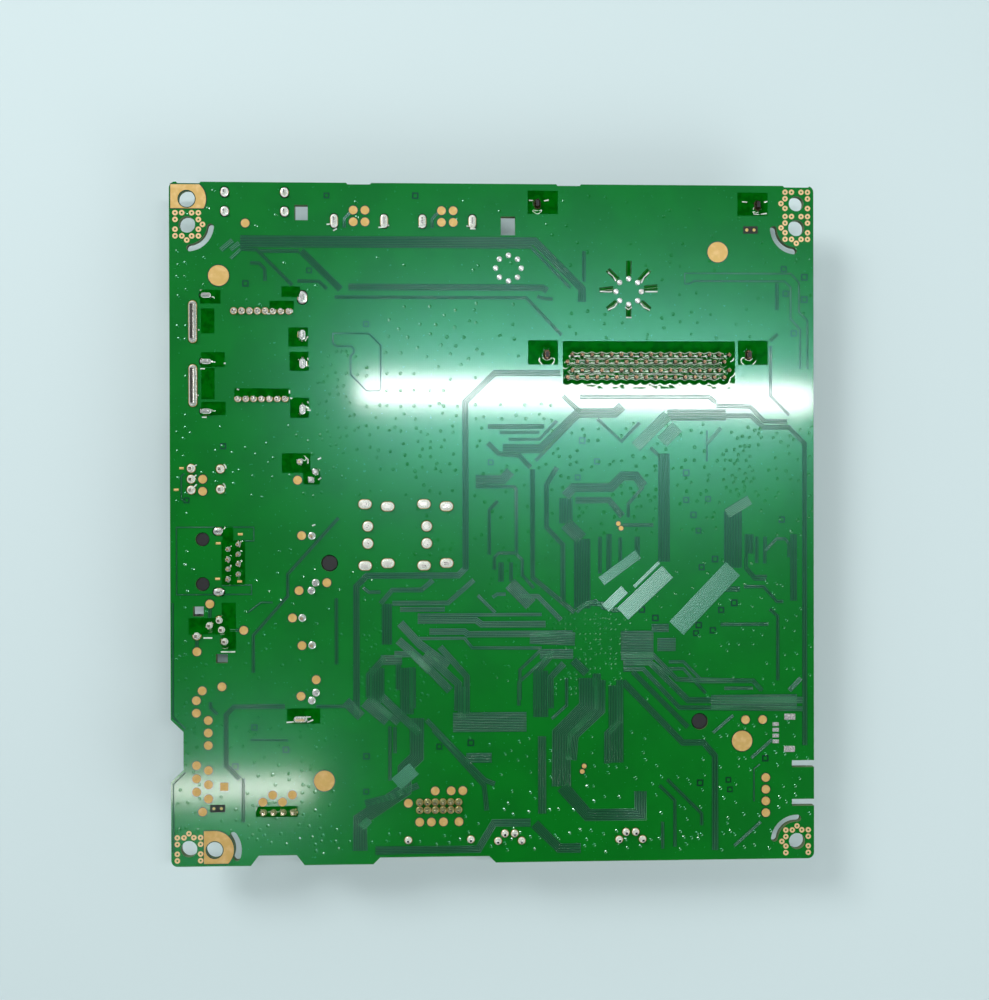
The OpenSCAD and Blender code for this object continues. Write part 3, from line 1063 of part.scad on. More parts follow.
// Soldered vias in two rings, and the tinned pads of a footprint left empty
tin_pts = [for (i = [0:3]) [72.9, -52.4 - 1.5 * i]];
tin_end_pts = [[76.6, -50.5], [76.5, -58.9]];
module ground_solder() color([0.82, 0.83, 0.85]) {
  for (p = ring_pts) over(p) rotate_extrude()
    polygon([[0, 0], [0.7, 0], [0.7, 0.1], [0.55, 0.35], [0.3, 0.5], [0, 0.52]]);
  round_joints(round_sets[9]);
  long_joints(long_sets[7]);
  for (p = tin_pts) over(p) translate([-0.8, -0.45, 0]) cube([1.6, 0.9, 0.15]);
  for (p = tin_end_pts) over(p) translate([-1.4, -0.75, 0]) cube([2.8, 1.5, 0.2]);
}

// Rows of small chip parts, [first place, step, count, length, width]
chip_rows = [[[6, -1], [0, -3], 2, 1.6, 0.8], [[2, -2], [0, -2.2], 9, 1.6, 0.8],
  [[-1, 6], [0, -2.2], 7, 2, 1.25], [[8, 14], [2.4, 0], 18, 1, 0.5], [[46, 8], [0, -2], 7, 1.6, 0.8],
  [[-34, -16], [2.2, 0], 3, 2, 1.25], [[-30, -24], [2.2, 0], 9, 2, 1.25], [[-72, 71], [2.4, 0], 9, 1, 0.5],
  [[-44, 70], [2.4, 0], 20, 1, 0.5], [[left_x + 38, 32], [0, -2.4], 6, 1.6, 0.8],
  [[left_x + 43, -28], [0, -2.4], 9, 1.6, 0.8],
  [[56, -8], [2.2, 0], 8, 1.6, 0.8], [[54, -16], [2.2, 0], 9, 1, 0.5], [[60, -20], [2.4, 0], 6, 2, 1.25],
  [[0, -68], [2.4, 0], 15, 1, 0.5], [[-52, 0], [0, -1.6], 1, 1.6, 0.8], [[-20, 64], [2.4, 0], 9, 2, 1.25]];
module chip_parts() color([0.62, 0.55, 0.42]) for (r = chip_rows, i = [0:r[2] - 1])
  under(r[0] + i * r[1]) translate([-r[4] / 2, -r[3] / 2, 0]) cube([r[4], r[3], r[4] * 0.7]);

// ---------------------------------------------------------------- parts that are drawn

board();
ground_pads();
screw_vias();
test_pads();
tracks_upper();
tracks_lower();
flux_film();
jumper_patches();
card_guide();
card_cover();
card_header();
card_pins();
card_solder();
tuner_1_can();
tuner_1_socket();
tuner_1_insulator();
tuner_1_pins();
tuner_2_can();
tuner_2_socket();
tuner_2_insulator();
tuner_2_pins();
tuner_solder();
lan_housing();
lan_shield();
lan_contacts();
lan_solder();
lan_transformer();
usb_1_shell();
usb_1_tongue();
usb_2_shell();
usb_2_tongue();
usb_contacts();
video_shell();
video_tongue();
socket_solder();
headphone_jack();
audio_jack();
av_jack();
jack_terminals();
jack_solder();
coil_cores();
coil_windings();
coil_solder();
speaker_header();
power_header();
header_pins();
header_solder();
ribbon_housings();
ribbon_shells();
heat_sink();
thermal_pad();
processor();
memory_chips();
amplifier();
capacitors();
chip_coils();
support_posts();
ground_clips();
ground_solder();
chip_parts();
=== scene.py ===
"""Dresses the main board of a television, which lies solder side up, and sets its studio."""

import sys
import json
import logging
import math
import random
from dataclasses import dataclass, field
from enum import Enum

import bmesh
import bpy
from mathutils import Matrix, Quaternion, Vector
from mathutils.bvhtree import BVHTree

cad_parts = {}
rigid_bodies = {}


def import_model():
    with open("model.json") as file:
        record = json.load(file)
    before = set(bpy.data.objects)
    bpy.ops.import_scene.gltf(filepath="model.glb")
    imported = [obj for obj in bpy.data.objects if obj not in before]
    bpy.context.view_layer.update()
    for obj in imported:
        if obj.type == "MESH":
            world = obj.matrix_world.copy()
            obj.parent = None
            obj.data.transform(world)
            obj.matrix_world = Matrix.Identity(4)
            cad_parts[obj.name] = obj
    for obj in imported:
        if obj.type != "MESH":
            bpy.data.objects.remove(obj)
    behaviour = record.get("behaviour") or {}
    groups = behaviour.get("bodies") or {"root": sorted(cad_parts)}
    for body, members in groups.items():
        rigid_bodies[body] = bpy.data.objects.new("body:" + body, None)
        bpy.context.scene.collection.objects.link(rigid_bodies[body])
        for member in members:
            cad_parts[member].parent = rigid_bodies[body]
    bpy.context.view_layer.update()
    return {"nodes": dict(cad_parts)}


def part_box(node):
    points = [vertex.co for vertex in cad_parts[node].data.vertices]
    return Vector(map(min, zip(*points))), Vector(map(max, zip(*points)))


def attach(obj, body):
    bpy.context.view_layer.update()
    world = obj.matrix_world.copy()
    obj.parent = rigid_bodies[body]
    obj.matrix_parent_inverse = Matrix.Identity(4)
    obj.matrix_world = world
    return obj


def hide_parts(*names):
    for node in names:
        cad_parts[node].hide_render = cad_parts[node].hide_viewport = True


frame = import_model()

LOG = logging.getLogger("main_board")
MM = 0.001
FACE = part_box("board")[1].z / MM
ROOT = "root"
Colour = tuple[float, float, float]
Point = tuple[float, float]
TEAL: Colour = (0.3, 1.0, 0.92)
CROSSING = 0.00002  # how much higher each route lies than the one before, so that none share a plane


def srgb(red: int, green: int, blue: int) -> Colour:
    """Turns a colour of 0 to 255 as seen on a screen into linear light.

    Args:
        red: red channel.
        green: green channel.
        blue: blue channel.

    Returns:
        The linear colour.
    """
    def one(value: int) -> float:
        """Turns one channel into linear light."""
        part = value / 255
        return part / 12.92 if part < 0.04045 else ((part + 0.055) / 1.055) ** 2.4

    return one(red), one(green), one(blue)


# ---------------------------------------------------------------- node trees


class Link:
    """An output socket; arithmetic on it adds Math nodes to its tree."""

    def __init__(self, graph: "Graph", socket: bpy.types.NodeSocket) -> None:
        """Keeps the tree and the socket."""
        self.graph = graph
        self.socket = socket

    def out(self, name: str | int) -> "Link":
        """Gives another output of the same node."""
        return Link(self.graph, self.socket.node.outputs[name])

    def math(self, operation: str, *others: "Number") -> "Link":
        """Applies a Math node to this value and others."""
        return self.graph.math(operation, self, *others)

    def __add__(self, other: "Number") -> "Link":
        """Adds."""
        return self.math("ADD", other)

    __radd__ = __add__

    def __mul__(self, other: "Number") -> "Link":
        """Multiplies."""
        return self.math("MULTIPLY", other)

    __rmul__ = __mul__

    def __sub__(self, other: "Number") -> "Link":
        """Takes away."""
        return self.math("SUBTRACT", other)

    def __rsub__(self, other: "Number") -> "Link":
        """Is taken away from a number."""
        return self.graph.math("SUBTRACT", other, self)

    def __truediv__(self, other: "Number") -> "Link":
        """Divides."""
        return self.math("DIVIDE", other)

    def __gt__(self, other: "Number") -> "Link":
        """Is 1 where this is the greater."""
        return self.math("GREATER_THAN", other)

    def __lt__(self, other: "Number") -> "Link":
        """Is 1 where this is the less."""
        return self.math("LESS_THAN", other)

    def __abs__(self) -> "Link":
        """Drops the sign."""
        return self.math("ABSOLUTE")

    def ramp(self, low: float, high: float) -> "Link":
        """Goes from 0 at low to 1 at high, smoothly, and stays there."""
        return self.graph.node("ShaderNodeMapRange", {"interpolation_type": "SMOOTHSTEP"},
                               {"Value": self, "From Min": low, "From Max": high})


Number = Link | float


class Graph:
    """Builds a shader or geometry tree."""

    def __init__(self, tree: bpy.types.NodeTree) -> None:
        """Keeps the tree that is built."""
        self.tree = tree

    def node(self, kind: str, settings: dict | None = None, inputs: dict | None = None) -> Link:
        """Adds a node.

        Args:
            kind: the node's type.
            settings: properties that are set before its sockets; stops are a ramp's.
            inputs: socket name or number to a value or link.

        Returns:
            Its first output that is in use.
        """
        made = self.tree.nodes.new(kind)
        for key, value in (settings or {}).items():
            if key == "stops":
                while len(made.color_ramp.elements) < len(value):
                    made.color_ramp.elements.new(0.5)
                for element, (place, colour) in zip(made.color_ramp.elements, value):
                    element.position, element.color = place, (*colour, 1.0)
            else:
                setattr(made, key, value)
        for key, value in (inputs or {}).items():
            if isinstance(value, Link):
                self.tree.links.new(value.socket, made.inputs[key])
            else:
                made.inputs[key].default_value = value
        usable = [s for s in made.outputs if s.enabled]
        return Link(self, usable[0] if usable else None) if made.outputs else Link(self, None)

    def math(self, operation: str, *values: Number) -> Link:
        """Adds a Math node."""
        return self.node("ShaderNodeMath", {"operation": operation}, dict(enumerate(values)))

    def vector(self, operation: str, *values: object) -> Link:
        """Adds a Vector Math node."""
        return self.node("ShaderNodeVectorMath", {"operation": operation}, dict(enumerate(values)))

    def scale(self, vector: object, factor: Number) -> Link:
        """Multiplies a vector by a number."""
        return self.node("ShaderNodeVectorMath", {"operation": "SCALE"}, {0: vector, "Scale": factor})

    def axes(self, vector: Link) -> tuple[Link, Link, Link]:
        """Splits a vector into its three numbers."""
        split = self.node("ShaderNodeSeparateXYZ", None, {0: vector})
        return split, split.out(1), split.out(2)

    def join(self, x: Number, y: Number, z: Number) -> Link:
        """Makes a vector of three numbers."""
        return self.node("ShaderNodeCombineXYZ", None, {0: x, 1: y, 2: z})

    def blend(self, share: Number, first: object, second: object) -> Link:
        """Mixes two colours, from the first at 0 to the second at 1."""
        ends = [(*c, 1.0) if isinstance(c, tuple) else c for c in (first, second)]
        mixed = self.node("ShaderNodeMix", {"data_type": "RGBA"}, {0: share, 6: ends[0], 7: ends[1]})
        return mixed.out(2)

    def noise(self, at: Link, size: float, detail: float = 2.0, rough: float = 0.5) -> Link:
        """Adds noise with lumps of about this size, in the units of its place."""
        return self.node("ShaderNodeTexNoise", None,
                         {"Vector": at, "Scale": 1 / size, "Detail": detail, "Roughness": rough})


class Recipe(Graph):
    """A tree of Geometry Nodes with named inputs."""

    def __init__(self, name: str) -> None:
        """Starts the tree with a geometry input and output."""
        super().__init__(bpy.data.node_groups.new(name, "GeometryNodeTree"))
        self.tree.is_modifier = True
        for way in ("INPUT", "OUTPUT"):
            self.tree.interface.new_socket("Geometry", in_out=way, socket_type="NodeSocketGeometry")
        self.start = self.tree.nodes.new("NodeGroupInput")

    def given(self, name: str, default: float | int | bpy.types.Object) -> Link:
        """Adds a named input.

        Args:
            name: what the input is called.
            default: its value, which also tells its kind.

        Returns:
            The input as a link.
        """
        kinds = {float: "NodeSocketFloat", int: "NodeSocketInt"}
        kind = kinds.get(type(default), "NodeSocketObject")
        socket = self.tree.interface.new_socket(name, in_out="INPUT", socket_type=kind)
        socket.default_value = default
        return Link(self, self.start.outputs[name])

    def named(self, name: str, kind: str) -> Link:
        """Reads an attribute of the points."""
        return self.node("GeometryNodeInputNamedAttribute", {"data_type": kind}, {"Name": name})

    @property
    def shape(self) -> Link:
        """The geometry that comes in."""
        return Link(self, self.start.outputs["Geometry"])

    def close(self, shape: Link, material: bpy.types.Material) -> None:
        """Ends the tree in real, shaded geometry.

        Args:
            shape: what was made.
            material: the finish that it gets.
        """
        real = self.node("GeometryNodeRealizeInstances", None, {0: shape})
        done = self.node("GeometryNodeSetMaterial", None, {0: real, "Material": material})
        end = self.tree.nodes.new("NodeGroupOutput")
        self.tree.links.new(done.socket, end.inputs[0])


def grow(name: str, recipe: Recipe, seed_mesh: bpy.types.Mesh, **values: object) -> bpy.types.Object:
    """Runs a recipe once and keeps its result as a plain mesh.

    Args:
        name: the new piece's name.
        recipe: the Geometry Nodes to run.
        seed_mesh: the mesh that goes in.
        values: named inputs, with _ for a blank.

    Returns:
        An object at the origin that holds the finished mesh.
    """
    host = bpy.data.objects.new(name + "_host", seed_mesh)
    bpy.context.scene.collection.objects.link(host)
    change = host.modifiers.new("recipe", "NODES")
    change.node_group = recipe.tree
    sockets = {s.name: s.identifier for s in recipe.tree.interface.items_tree if s.in_out == "INPUT"}
    for key, value in values.items():
        change[sockets[key.replace("_", " ")]] = value
    view = bpy.context.evaluated_depsgraph_get()
    mesh = bpy.data.meshes.new_from_object(host.evaluated_get(view), depsgraph=view)
    host.modifiers.remove(change)
    bpy.data.objects.remove(host)
    return place(name, mesh)


def place(name: str, mesh: bpy.types.Mesh) -> bpy.types.Object:
    """Puts a mesh in the scene under a name."""
    mesh.name = name
    piece = bpy.data.objects.new(name, mesh)
    bpy.context.scene.collection.objects.link(piece)
    return piece


def mesh_of(verts: list, edges: list | None = None, faces: list | None = None) -> bpy.types.Mesh:
    """Makes a mesh from points in millimetres.

    Args:
        verts: its points.
        edges: pairs of points.
        faces: rings of points.

    Returns:
        The mesh, in metres.
    """
    mesh = bpy.data.meshes.new("raw")
    mesh.from_pydata([tuple(c * MM for c in v) for v in verts], edges or [], faces or [])
    return mesh


def number_points(mesh: bpy.types.Mesh, name: str, values: list[float]) -> None:
    """Stores one number for each point of a mesh."""
    mesh.attributes.new(name, "FLOAT", "POINT").data.foreach_set("value", values)


def merged(node: str) -> bpy.types.Mesh:
    """Gives a joined-up copy of a frame node's loose triangles.

    Args:
        node: the node's name.

    Returns:
        The copy, which belongs to no object.
    """
    form = bmesh.new()
    form.from_mesh(frame["nodes"][node].data)
    bmesh.ops.remove_doubles(form, verts=form.verts, dist=1e-7)
    mesh = bpy.data.meshes.new(node + "_copy")
    form.to_mesh(mesh)
    form.free()
    return mesh


def islands(node: str) -> list[tuple[Vector, Vector]]:
    """Finds the box of each separate body of a frame node.

    Args:
        node: the node's name.

    Returns:
        The lowest and highest corner of each, in millimetres.
    """
    form = bmesh.new()
    form.from_mesh(merged(node))
    seen: set[int] = set()
    boxes = []
    for start in form.verts:
        if start.index in seen:
            continue
        seen.add(start.index)
        todo, mine = [start], []
        while todo:
            vert = todo.pop()
            mine.append(vert.co / MM)
            for edge in vert.link_edges:
                near = edge.other_vert(vert)
                if near.index not in seen:
                    seen.add(near.index)
                    todo.append(near)
        boxes.append((Vector(map(min, zip(*mine))), Vector(map(max, zip(*mine)))))
    form.free()
    return boxes


def joined(name: str, parts: list[bpy.types.Object]) -> bpy.types.Object:
    """Joins plain meshes into one piece.

    Args:
        name: the piece's name.
        parts: objects at the origin, which are used up.

    Returns:
        The one object.
    """
    form = bmesh.new()
    material = parts[0].data.materials[0]
    for part in parts:
        form.from_mesh(part.data)
        bpy.data.objects.remove(part)
    mesh = bpy.data.meshes.new(name)
    form.to_mesh(mesh)
    form.free()
    mesh.materials.append(material)
    return place(name, mesh)


# ---------------------------------------------------------------- finishes


@dataclass(frozen=True)
class Finish:
    """What all finishes share; each kind paints its own pattern over it.

    Attributes:
        name: what it is called.
        colour: linear base colour.
        rough: roughness.
        metal: how metallic it is.
        coat: weight of the clear layer over it.
        coat_rough: roughness of that layer.
        bump: height of its grain, in millimetres.
        sheen: tint of its plain reflection.
        shine: strength of its plain reflection, 0.5 for the usual.
        slot: the record's slot, where it isn't the name; not used.
    """

    name: str
    colour: Colour
    rough: float = 0.5
    metal: float = 0.0
    coat: float = 0.0
    coat_rough: float = 0.1
    bump: float = 0.01
    sheen: Colour = (1.0, 1.0, 1.0)
    shine: float = 0.5
    slot: str = ""

    def paint(self, g: Graph, at: Link) -> dict[str, object]:
        """Gives the sockets that vary; at is the place in millimetres."""
        cloud = g.noise(at, 3.0)
        dark = tuple(c * 0.8 for c in self.colour)
        return {"Base Color": g.blend(cloud.ramp(0.3, 0.7), dark, self.colour),
                "Roughness": self.rough * (0.8 + 0.4 * cloud), "height": g.noise(at, 0.3)}

    def material(self) -> bpy.types.Material:
        """Builds the material, once.

        Returns:
            The finished material.
        """
        old = bpy.data.materials.get("finish_" + self.name)
        if old:
            return old
        made = bpy.data.materials.new("finish_" + self.name)
        made.use_nodes = True
        made.node_tree.nodes.clear()
        g = Graph(made.node_tree)
        at = g.scale(g.node("ShaderNodeTexCoord").out("Object"), 1 / MM)
        sockets: dict[str, object] = {"Base Color": (*self.colour, 1.0), "Roughness": self.rough,
                                      "Metallic": self.metal, "Coat Weight": self.coat,
                                      "Coat Roughness": self.coat_rough,
                                      "Specular Tint": (*self.sheen, 1.0),
                                      "Specular IOR Level": self.shine}
        sockets.update(self.paint(g, at))
        height = sockets.pop("height", None)
        if height is not None:
            sockets["Normal"] = g.node("ShaderNodeBump", None,
                                       {"Strength": 1.0, "Distance": self.bump * MM, "Height": height})
        shader = g.node("ShaderNodeBsdfPrincipled", None, sockets)
        g.node("ShaderNodeOutputMaterial", None, {"Surface": shader})
        return made


@dataclass(frozen=True)
class MaskFinish(Finish):
    """Green solder mask over laminate: weave, soft mottling, bare fibre on the cut edges.

    Attributes:
        edge: colour of the cut laminate.
        weave: pitch of the glass cloth, in millimetres.
    """

    edge: Colour = (0.5, 0.5, 0.3)
    weave: float = 0.55

    def paint(self, g: Graph, at: Link) -> dict[str, object]:
        """Paints mask on both faces and layered fibre on the edges."""
        x, y, z = g.axes(at)
        side = (abs(g.axes(g.node("ShaderNodeNewGeometry").out("True Normal"))[2]) < 0.5)
        mottle = g.noise(at, 14.0, 3.0)
        cloth = g.math("SINE", x * (math.tau / self.weave)) + g.math("SINE", y * (math.tau / self.weave))
        deep = tuple(c * 0.86 for c in self.colour)
        mask = g.blend(mottle.ramp(0.35, 0.65), deep, self.colour)
        layers = g.math("SINE", z * (math.tau / 0.2) + 3.0 * g.noise(at, 1.2)).ramp(-1.0, 1.0)
        fibre = g.blend(layers, tuple(c * 0.6 for c in self.edge), self.edge)
        grain = cloth * 0.25 + g.noise(at, 0.35) * 0.5 + g.noise(at, 2.2) * 0.9
        return {"Base Color": g.blend(side, mask, fibre),
                "Roughness": side * 0.45 + self.rough * (0.92 + 0.16 * g.noise(at, 1.0)),
                "Coat Weight": self.coat * (1 - side), "height": grain}


@dataclass(frozen=True)
class TrackFinish(Finish):
    """Mask where it runs over a raised copper line, thinner and paler on its crest."""

    def paint(self, g: Graph, at: Link) -> dict[str, object]:
        """Paints the flanks darker than the crest."""
        z = g.axes(at)[2]
        crest = (z - FACE).ramp(0.01, 0.055)
        flank = tuple(c * 0.55 for c in self.colour)
        cloud = g.noise(at, 6.0)
        return {"Base Color": g.blend(crest * (0.75 + 0.25 * cloud), flank, self.colour),
                "height": g.noise(at, 0.3)}


@dataclass(frozen=True)
class FilmFinish(Finish):
    """Dried flux: a wet-looking film with darker pools and small craters."""

    def paint(self, g: Graph, at: Link) -> dict[str, object]:
        """Paints the pools."""
        pool = g.noise(at, 1.6, 3.0)
        dark = tuple(c * 0.62 for c in self.colour)
        craters = g.node("ShaderNodeTexVoronoi", {"feature": "F1"}, {"Vector": at, "Scale": 1.1})
        return {"Base Color": g.blend(pool.ramp(0.35, 0.62), dark, self.colour),
                "height": g.noise(at, 0.7) + craters.ramp(0.0, 0.25) * 0.6}


@dataclass(frozen=True)
class SolderFinish(Finish):
    """Solder: bright, faintly frosted, with flux left in its hollows.

    Attributes:
        flux: colour of that flux.
    """

    flux: Colour = (0.18, 0.09, 0.03)

    def paint(self, g: Graph, at: Link) -> dict[str, object]:
        """Paints frost and flux stains."""
        frost = g.noise(at, 0.25, 3.0)
        stain = g.noise(at, 1.1, 2.0).ramp(0.52, 0.72)
        return {"Base Color": g.blend(stain * 0.55, self.colour, self.flux),
                "Roughness": self.rough + 0.16 * frost.ramp(0.4, 0.7) + 0.1 * stain,
                "Metallic": self.metal - 0.5 * stain, "height": frost}


@dataclass(frozen=True)
class PlateFinish(Finish):
    """Plated or rolled sheet metal with fine draw lines, smears and small scratches.

    Attributes:
        lines: how closely the rolling lines lie along each axis.
        tarnish: colour of the dull spots.
    """

    lines: tuple[float, float, float] = (0.3, 6.0, 6.0)
    tarnish: Colour = (0.35, 0.33, 0.28)

    def paint(self, g: Graph, at: Link) -> dict[str, object]:
        """Paints rolling lines, smears and tarnish."""
        drawn = g.noise(g.vector("MULTIPLY", at, self.lines), 1.0, 3.0)
        smear = g.noise(at, 4.0, 3.0)
        spots = g.noise(at, 0.7, 2.0).ramp(0.62, 0.78)
        tone = g.blend(smear.ramp(0.3, 0.7) * 0.35, self.colour, tuple(c * 0.7 for c in self.colour))
        return {"Base Color": g.blend(spots * 0.4, tone, self.tarnish),
                "Roughness": self.rough * (0.7 + 0.7 * smear) + 0.1 * drawn.ramp(0.5, 0.8),
                "height": drawn}


@dataclass(frozen=True)
class WireFinish(PlateFinish):
    """Lacquered copper wire, tinned where it comes through the board.

    Attributes:
        tin: colour of the tinned end.
        tin_depth: how far below the face the tin begins, in millimetres.
    """

    tin: Colour = srgb(232, 232, 226)
    tin_depth: float = 0.8

    def paint(self, g: Graph, at: Link) -> dict[str, object]:
        """Paints the wire and its tinned ends."""
        found = super().paint(g, at)
        tinned = g.axes(at)[2] > FACE - self.tin_depth
        found["Base Color"] = g.blend(tinned, found["Base Color"], self.tin)
        return found


@dataclass(frozen=True)
class MouldingFinish(Finish):
    """Moulded plastic with a fine spark texture, flow marks and rubbed spots."""

    def paint(self, g: Graph, at: Link) -> dict[str, object]:
        """Paints the spark texture and flow marks."""
        spark = g.noise(at, 0.12, 2.0)
        flow = g.noise(g.vector("MULTIPLY", at, (1.0, 0.25, 0.6)), 3.0)
        rubbed = g.noise(at, 1.8, 4.0).ramp(0.6, 0.75)
        pale = tuple(min(1.0, c * 1.25 + 0.015) for c in self.colour)
        dull = g.blend(flow.ramp(0.3, 0.7), tuple(c * 0.85 for c in self.colour), self.colour)
        return {"Base Color": g.blend(rubbed * 0.5, dull, pale),
                "Roughness": self.rough + 0.12 * spark - 0.1 * rubbed, "height": spark + flow * 0.3}


@dataclass(frozen=True)
class PadFinish(Finish):
    """Bare copper with a gold-coloured finish: probe dents and a faint bloom.

    Attributes:
        bloom: colour of the bloom.
    """

    bloom: Colour = (0.84, 0.6, 0.3)

    def paint(self, g: Graph, at: Link) -> dict[str, object]:
        """Paints the bloom and the probe's small dents."""
        cloud = g.noise(at, 1.5, 3.0)
        dents = g.node("ShaderNodeTexVoronoi", {"feature": "F1"}, {"Vector": at, "Scale": 2.4})
        return {"Base Color": g.blend(cloud.ramp(0.4, 0.75) * 0.5, self.colour, self.bloom),
                "Roughness": self.rough + 0.15 * cloud, "height": dents.ramp(0.0, 0.12) + cloud * 0.4}


@dataclass(frozen=True)
class CastFinish(Finish):
    """Ferrite or fired ceramic: a grainy, slightly porous body with paler patches.

    Attributes:
        grain: size of its grain, in millimetres.
    """

    grain: float = 0.2

    def paint(self, g: Graph, at: Link) -> dict[str, object]:
        """Paints grain and pores."""
        grain = g.noise(at, self.grain, 4.0, 0.65)
        pores = g.node("ShaderNodeTexVoronoi", {"feature": "F1"}, {"Vector": at, "Scale": 1.6 / self.grain})
        dark, pale = (tuple(c * k for c in self.colour) for k in (0.65, 1.25))
        return {"Base Color": g.blend(grain.ramp(0.35, 0.65), dark, pale),
                "Roughness": self.rough + 0.1 * grain, "height": grain + pores.ramp(0.0, 0.2) * 0.5}


class Finishes(Enum):
    """Every finish of the board, by the record's slot."""

    MASK = MaskFinish("solder_mask", srgb(0, 113, 14), 0.265, coat=1.0, coat_rough=0.095, bump=0.004,
                      sheen=TEAL, shine=1.0, edge=srgb(112, 120, 76))
    TRACK = TrackFinish("masked_copper", srgb(0, 100, 28), 0.32, coat=1.0, coat_rough=0.16, bump=0.003,
                        sheen=TEAL, shine=1.0)
    GAP = TrackFinish("mask_gap", srgb(0, 50, 16), 0.3, coat=1.0, coat_rough=0.1, bump=0.003,
                      sheen=TEAL, shine=1.0, slot="solder_mask")
    FILM = FilmFinish("flux_gloss", srgb(0, 92, 8), 0.2, coat=0.6, coat_rough=0.03, bump=0.003,
                      sheen=(0.0, 0.12, 0.02))
    # Painted highlight: a near-white glossy film whose colour stands in for the lamps' glints off beads and
    # webs of flux.
    GLINT_PAINT = FilmFinish("flux_bead", srgb(232, 240, 230), 0.25, coat=1.0, coat_rough=0.05, bump=0.01,
                         slot="flux_gloss")
    GOLD = PadFinish("bare_gold", srgb(208, 172, 100), 0.36, metal=0.35, bump=0.01)
    VIA_GOLD = PadFinish("via_gold", srgb(238, 200, 150), 0.3, metal=0.4, bump=0.004, slot="bare_gold")
    RIM = PadFinish("solder_rim", srgb(176, 156, 58), 0.3, metal=0.4, coat=0.8, bump=0.006, slot="solder")
    TINNED = SolderFinish("tinned_solder", srgb(244, 246, 238), 0.2, metal=0.3, bump=0.012, slot="solder",
                          flux=srgb(150, 146, 110))
    BRONZED = SolderFinish("bronzed_solder", srgb(70, 56, 42), 0.14, metal=0.95, bump=0.012, slot="solder",
                           flux=srgb(34, 26, 14))
    DULLED = SolderFinish("dulled_solder", srgb(158, 160, 116), 0.24, metal=0.6, bump=0.012, slot="solder",
                          flux=srgb(60, 74, 26))
    INK = MouldingFinish("black_ink", srgb(20, 24, 22), 0.5, bump=0.004)
    BLACK = MouldingFinish("black_moulding", srgb(24, 26, 29), 0.42, bump=0.008)
    IVORY = MouldingFinish("ivory_moulding", srgb(232, 226, 208), 0.45, bump=0.008)
    SHELL = PlateFinish("shell_steel", srgb(205, 207, 208), 0.24, metal=1.0, bump=0.003)
    TUNER = PlateFinish("tuner_steel", srgb(196, 199, 201), 0.34, metal=1.0, bump=0.004)
    NICKEL = PlateFinish("nickel_plating", srgb(214, 211, 202), 0.18, metal=1.0, bump=0.002)
    SOLDER = SolderFinish("solder", srgb(234, 236, 234), 0.16, metal=0.65, bump=0.012)
    TIN = PlateFinish("pin_tin", srgb(212, 206, 188), 0.25, metal=1.0, bump=0.003)
    CONTACT = PadFinish("contact_gold", srgb(226, 184, 96), 0.22, metal=1.0, bump=0.004)
    WIRE = WireFinish("copper_wire", srgb(190, 104, 52), 0.26, metal=0.9, coat=0.6, bump=0.003)
    FERRITE = CastFinish("ferrite", srgb(66, 67, 70), 0.55, bump=0.015)
    ANODISED = PlateFinish("black_anodising", srgb(34, 36, 40), 0.42, metal=0.6, bump=0.006)
    GAP_PAD = MouldingFinish("gap_pad", srgb(150, 158, 170), 0.8, bump=0.02)
    EPOXY = MouldingFinish("chip_epoxy", srgb(30, 31, 33), 0.55, bump=0.012)
    CAN = PlateFinish("can_aluminium", srgb(206, 208, 212), 0.3, metal=1.0, bump=0.004)
    BRONZE = PlateFinish("spring_bronze", srgb(208, 192, 150), 0.28, metal=1.0, bump=0.003)
    CERAMIC = CastFinish("chip_ceramic", srgb(168, 140, 104), 0.5, grain=0.12)

    @property
    def material(self) -> bpy.types.Material:
        """The material of this finish."""
        return self.value.material()


def dress(node: str, finish: Finishes) -> None:
    """Gives a frame node its finish.

    Args:
        node: the node's name.
        finish: what it is made of.
    """
    slots = frame["nodes"][node].material_slots
    if not slots:
        frame["nodes"][node].data.materials.append(finish.material)
    for slot in slots:
        slot.material = finish.material


def fit(piece: bpy.types.Object, finish: Finishes, *stands_for: str) -> bpy.types.Object:
    """Fixes a new piece to the board and says what it is made of.

    Args:
        piece: the new object, in place.
        finish: its finish.
        stands_for: frame nodes that it replaces.

    Returns:
        The piece.
    """
    if not piece.data.materials:
        piece.data.materials.append(finish.material)
    if stands_for:
        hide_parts(*stands_for)
    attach(piece, ROOT)
    LOG.info("%s: %d faces, %s", piece.name, len(piece.data.polygons), finish.value.name)
    return piece


# ---------------------------------------------------------------- the board's face


def side_vectors(path: list[Point]) -> list[tuple[float, float, float]]:
    """Finds, at each point of a path, the step to a parallel line 1 to its left.

    Args:
        path: the path's points.

    Returns:
        The steps, mitred at the bends.
    """
    ways = [(Vector(b) - Vector(a)).normalized() for a, b in zip(path, path[1:])]
    lefts = [Vector((-w.y, w.x)) for w in ways]
    sums = [lefts[0], *(2 * (a + b) / (a + b).length_squared for a, b in zip(lefts, lefts[1:])), lefts[-1]]
    return [(s.x, s.y, 0.0) for s in sums]


@dataclass(frozen=True)
class Bundle:
    """Parallel lines along one route.

    Attributes:
        copies: how many lines.
        path: the route of their middle, in millimetres.
    """

    copies: int
    path: tuple[Point, ...]

    @classmethod
    def of(cls, copies: int, *places: float) -> "Bundle":
        """Makes a bundle from x and y in turn."""
        return cls(copies, tuple(zip(places[::2], places[1::2])))

    @classmethod
    def singles(cls, rows: tuple[tuple[float, ...], ...]) -> list["Bundle"]:
        """Makes one single line of each row of x and y in turn."""
        return [cls.of(1, *row) for row in rows]


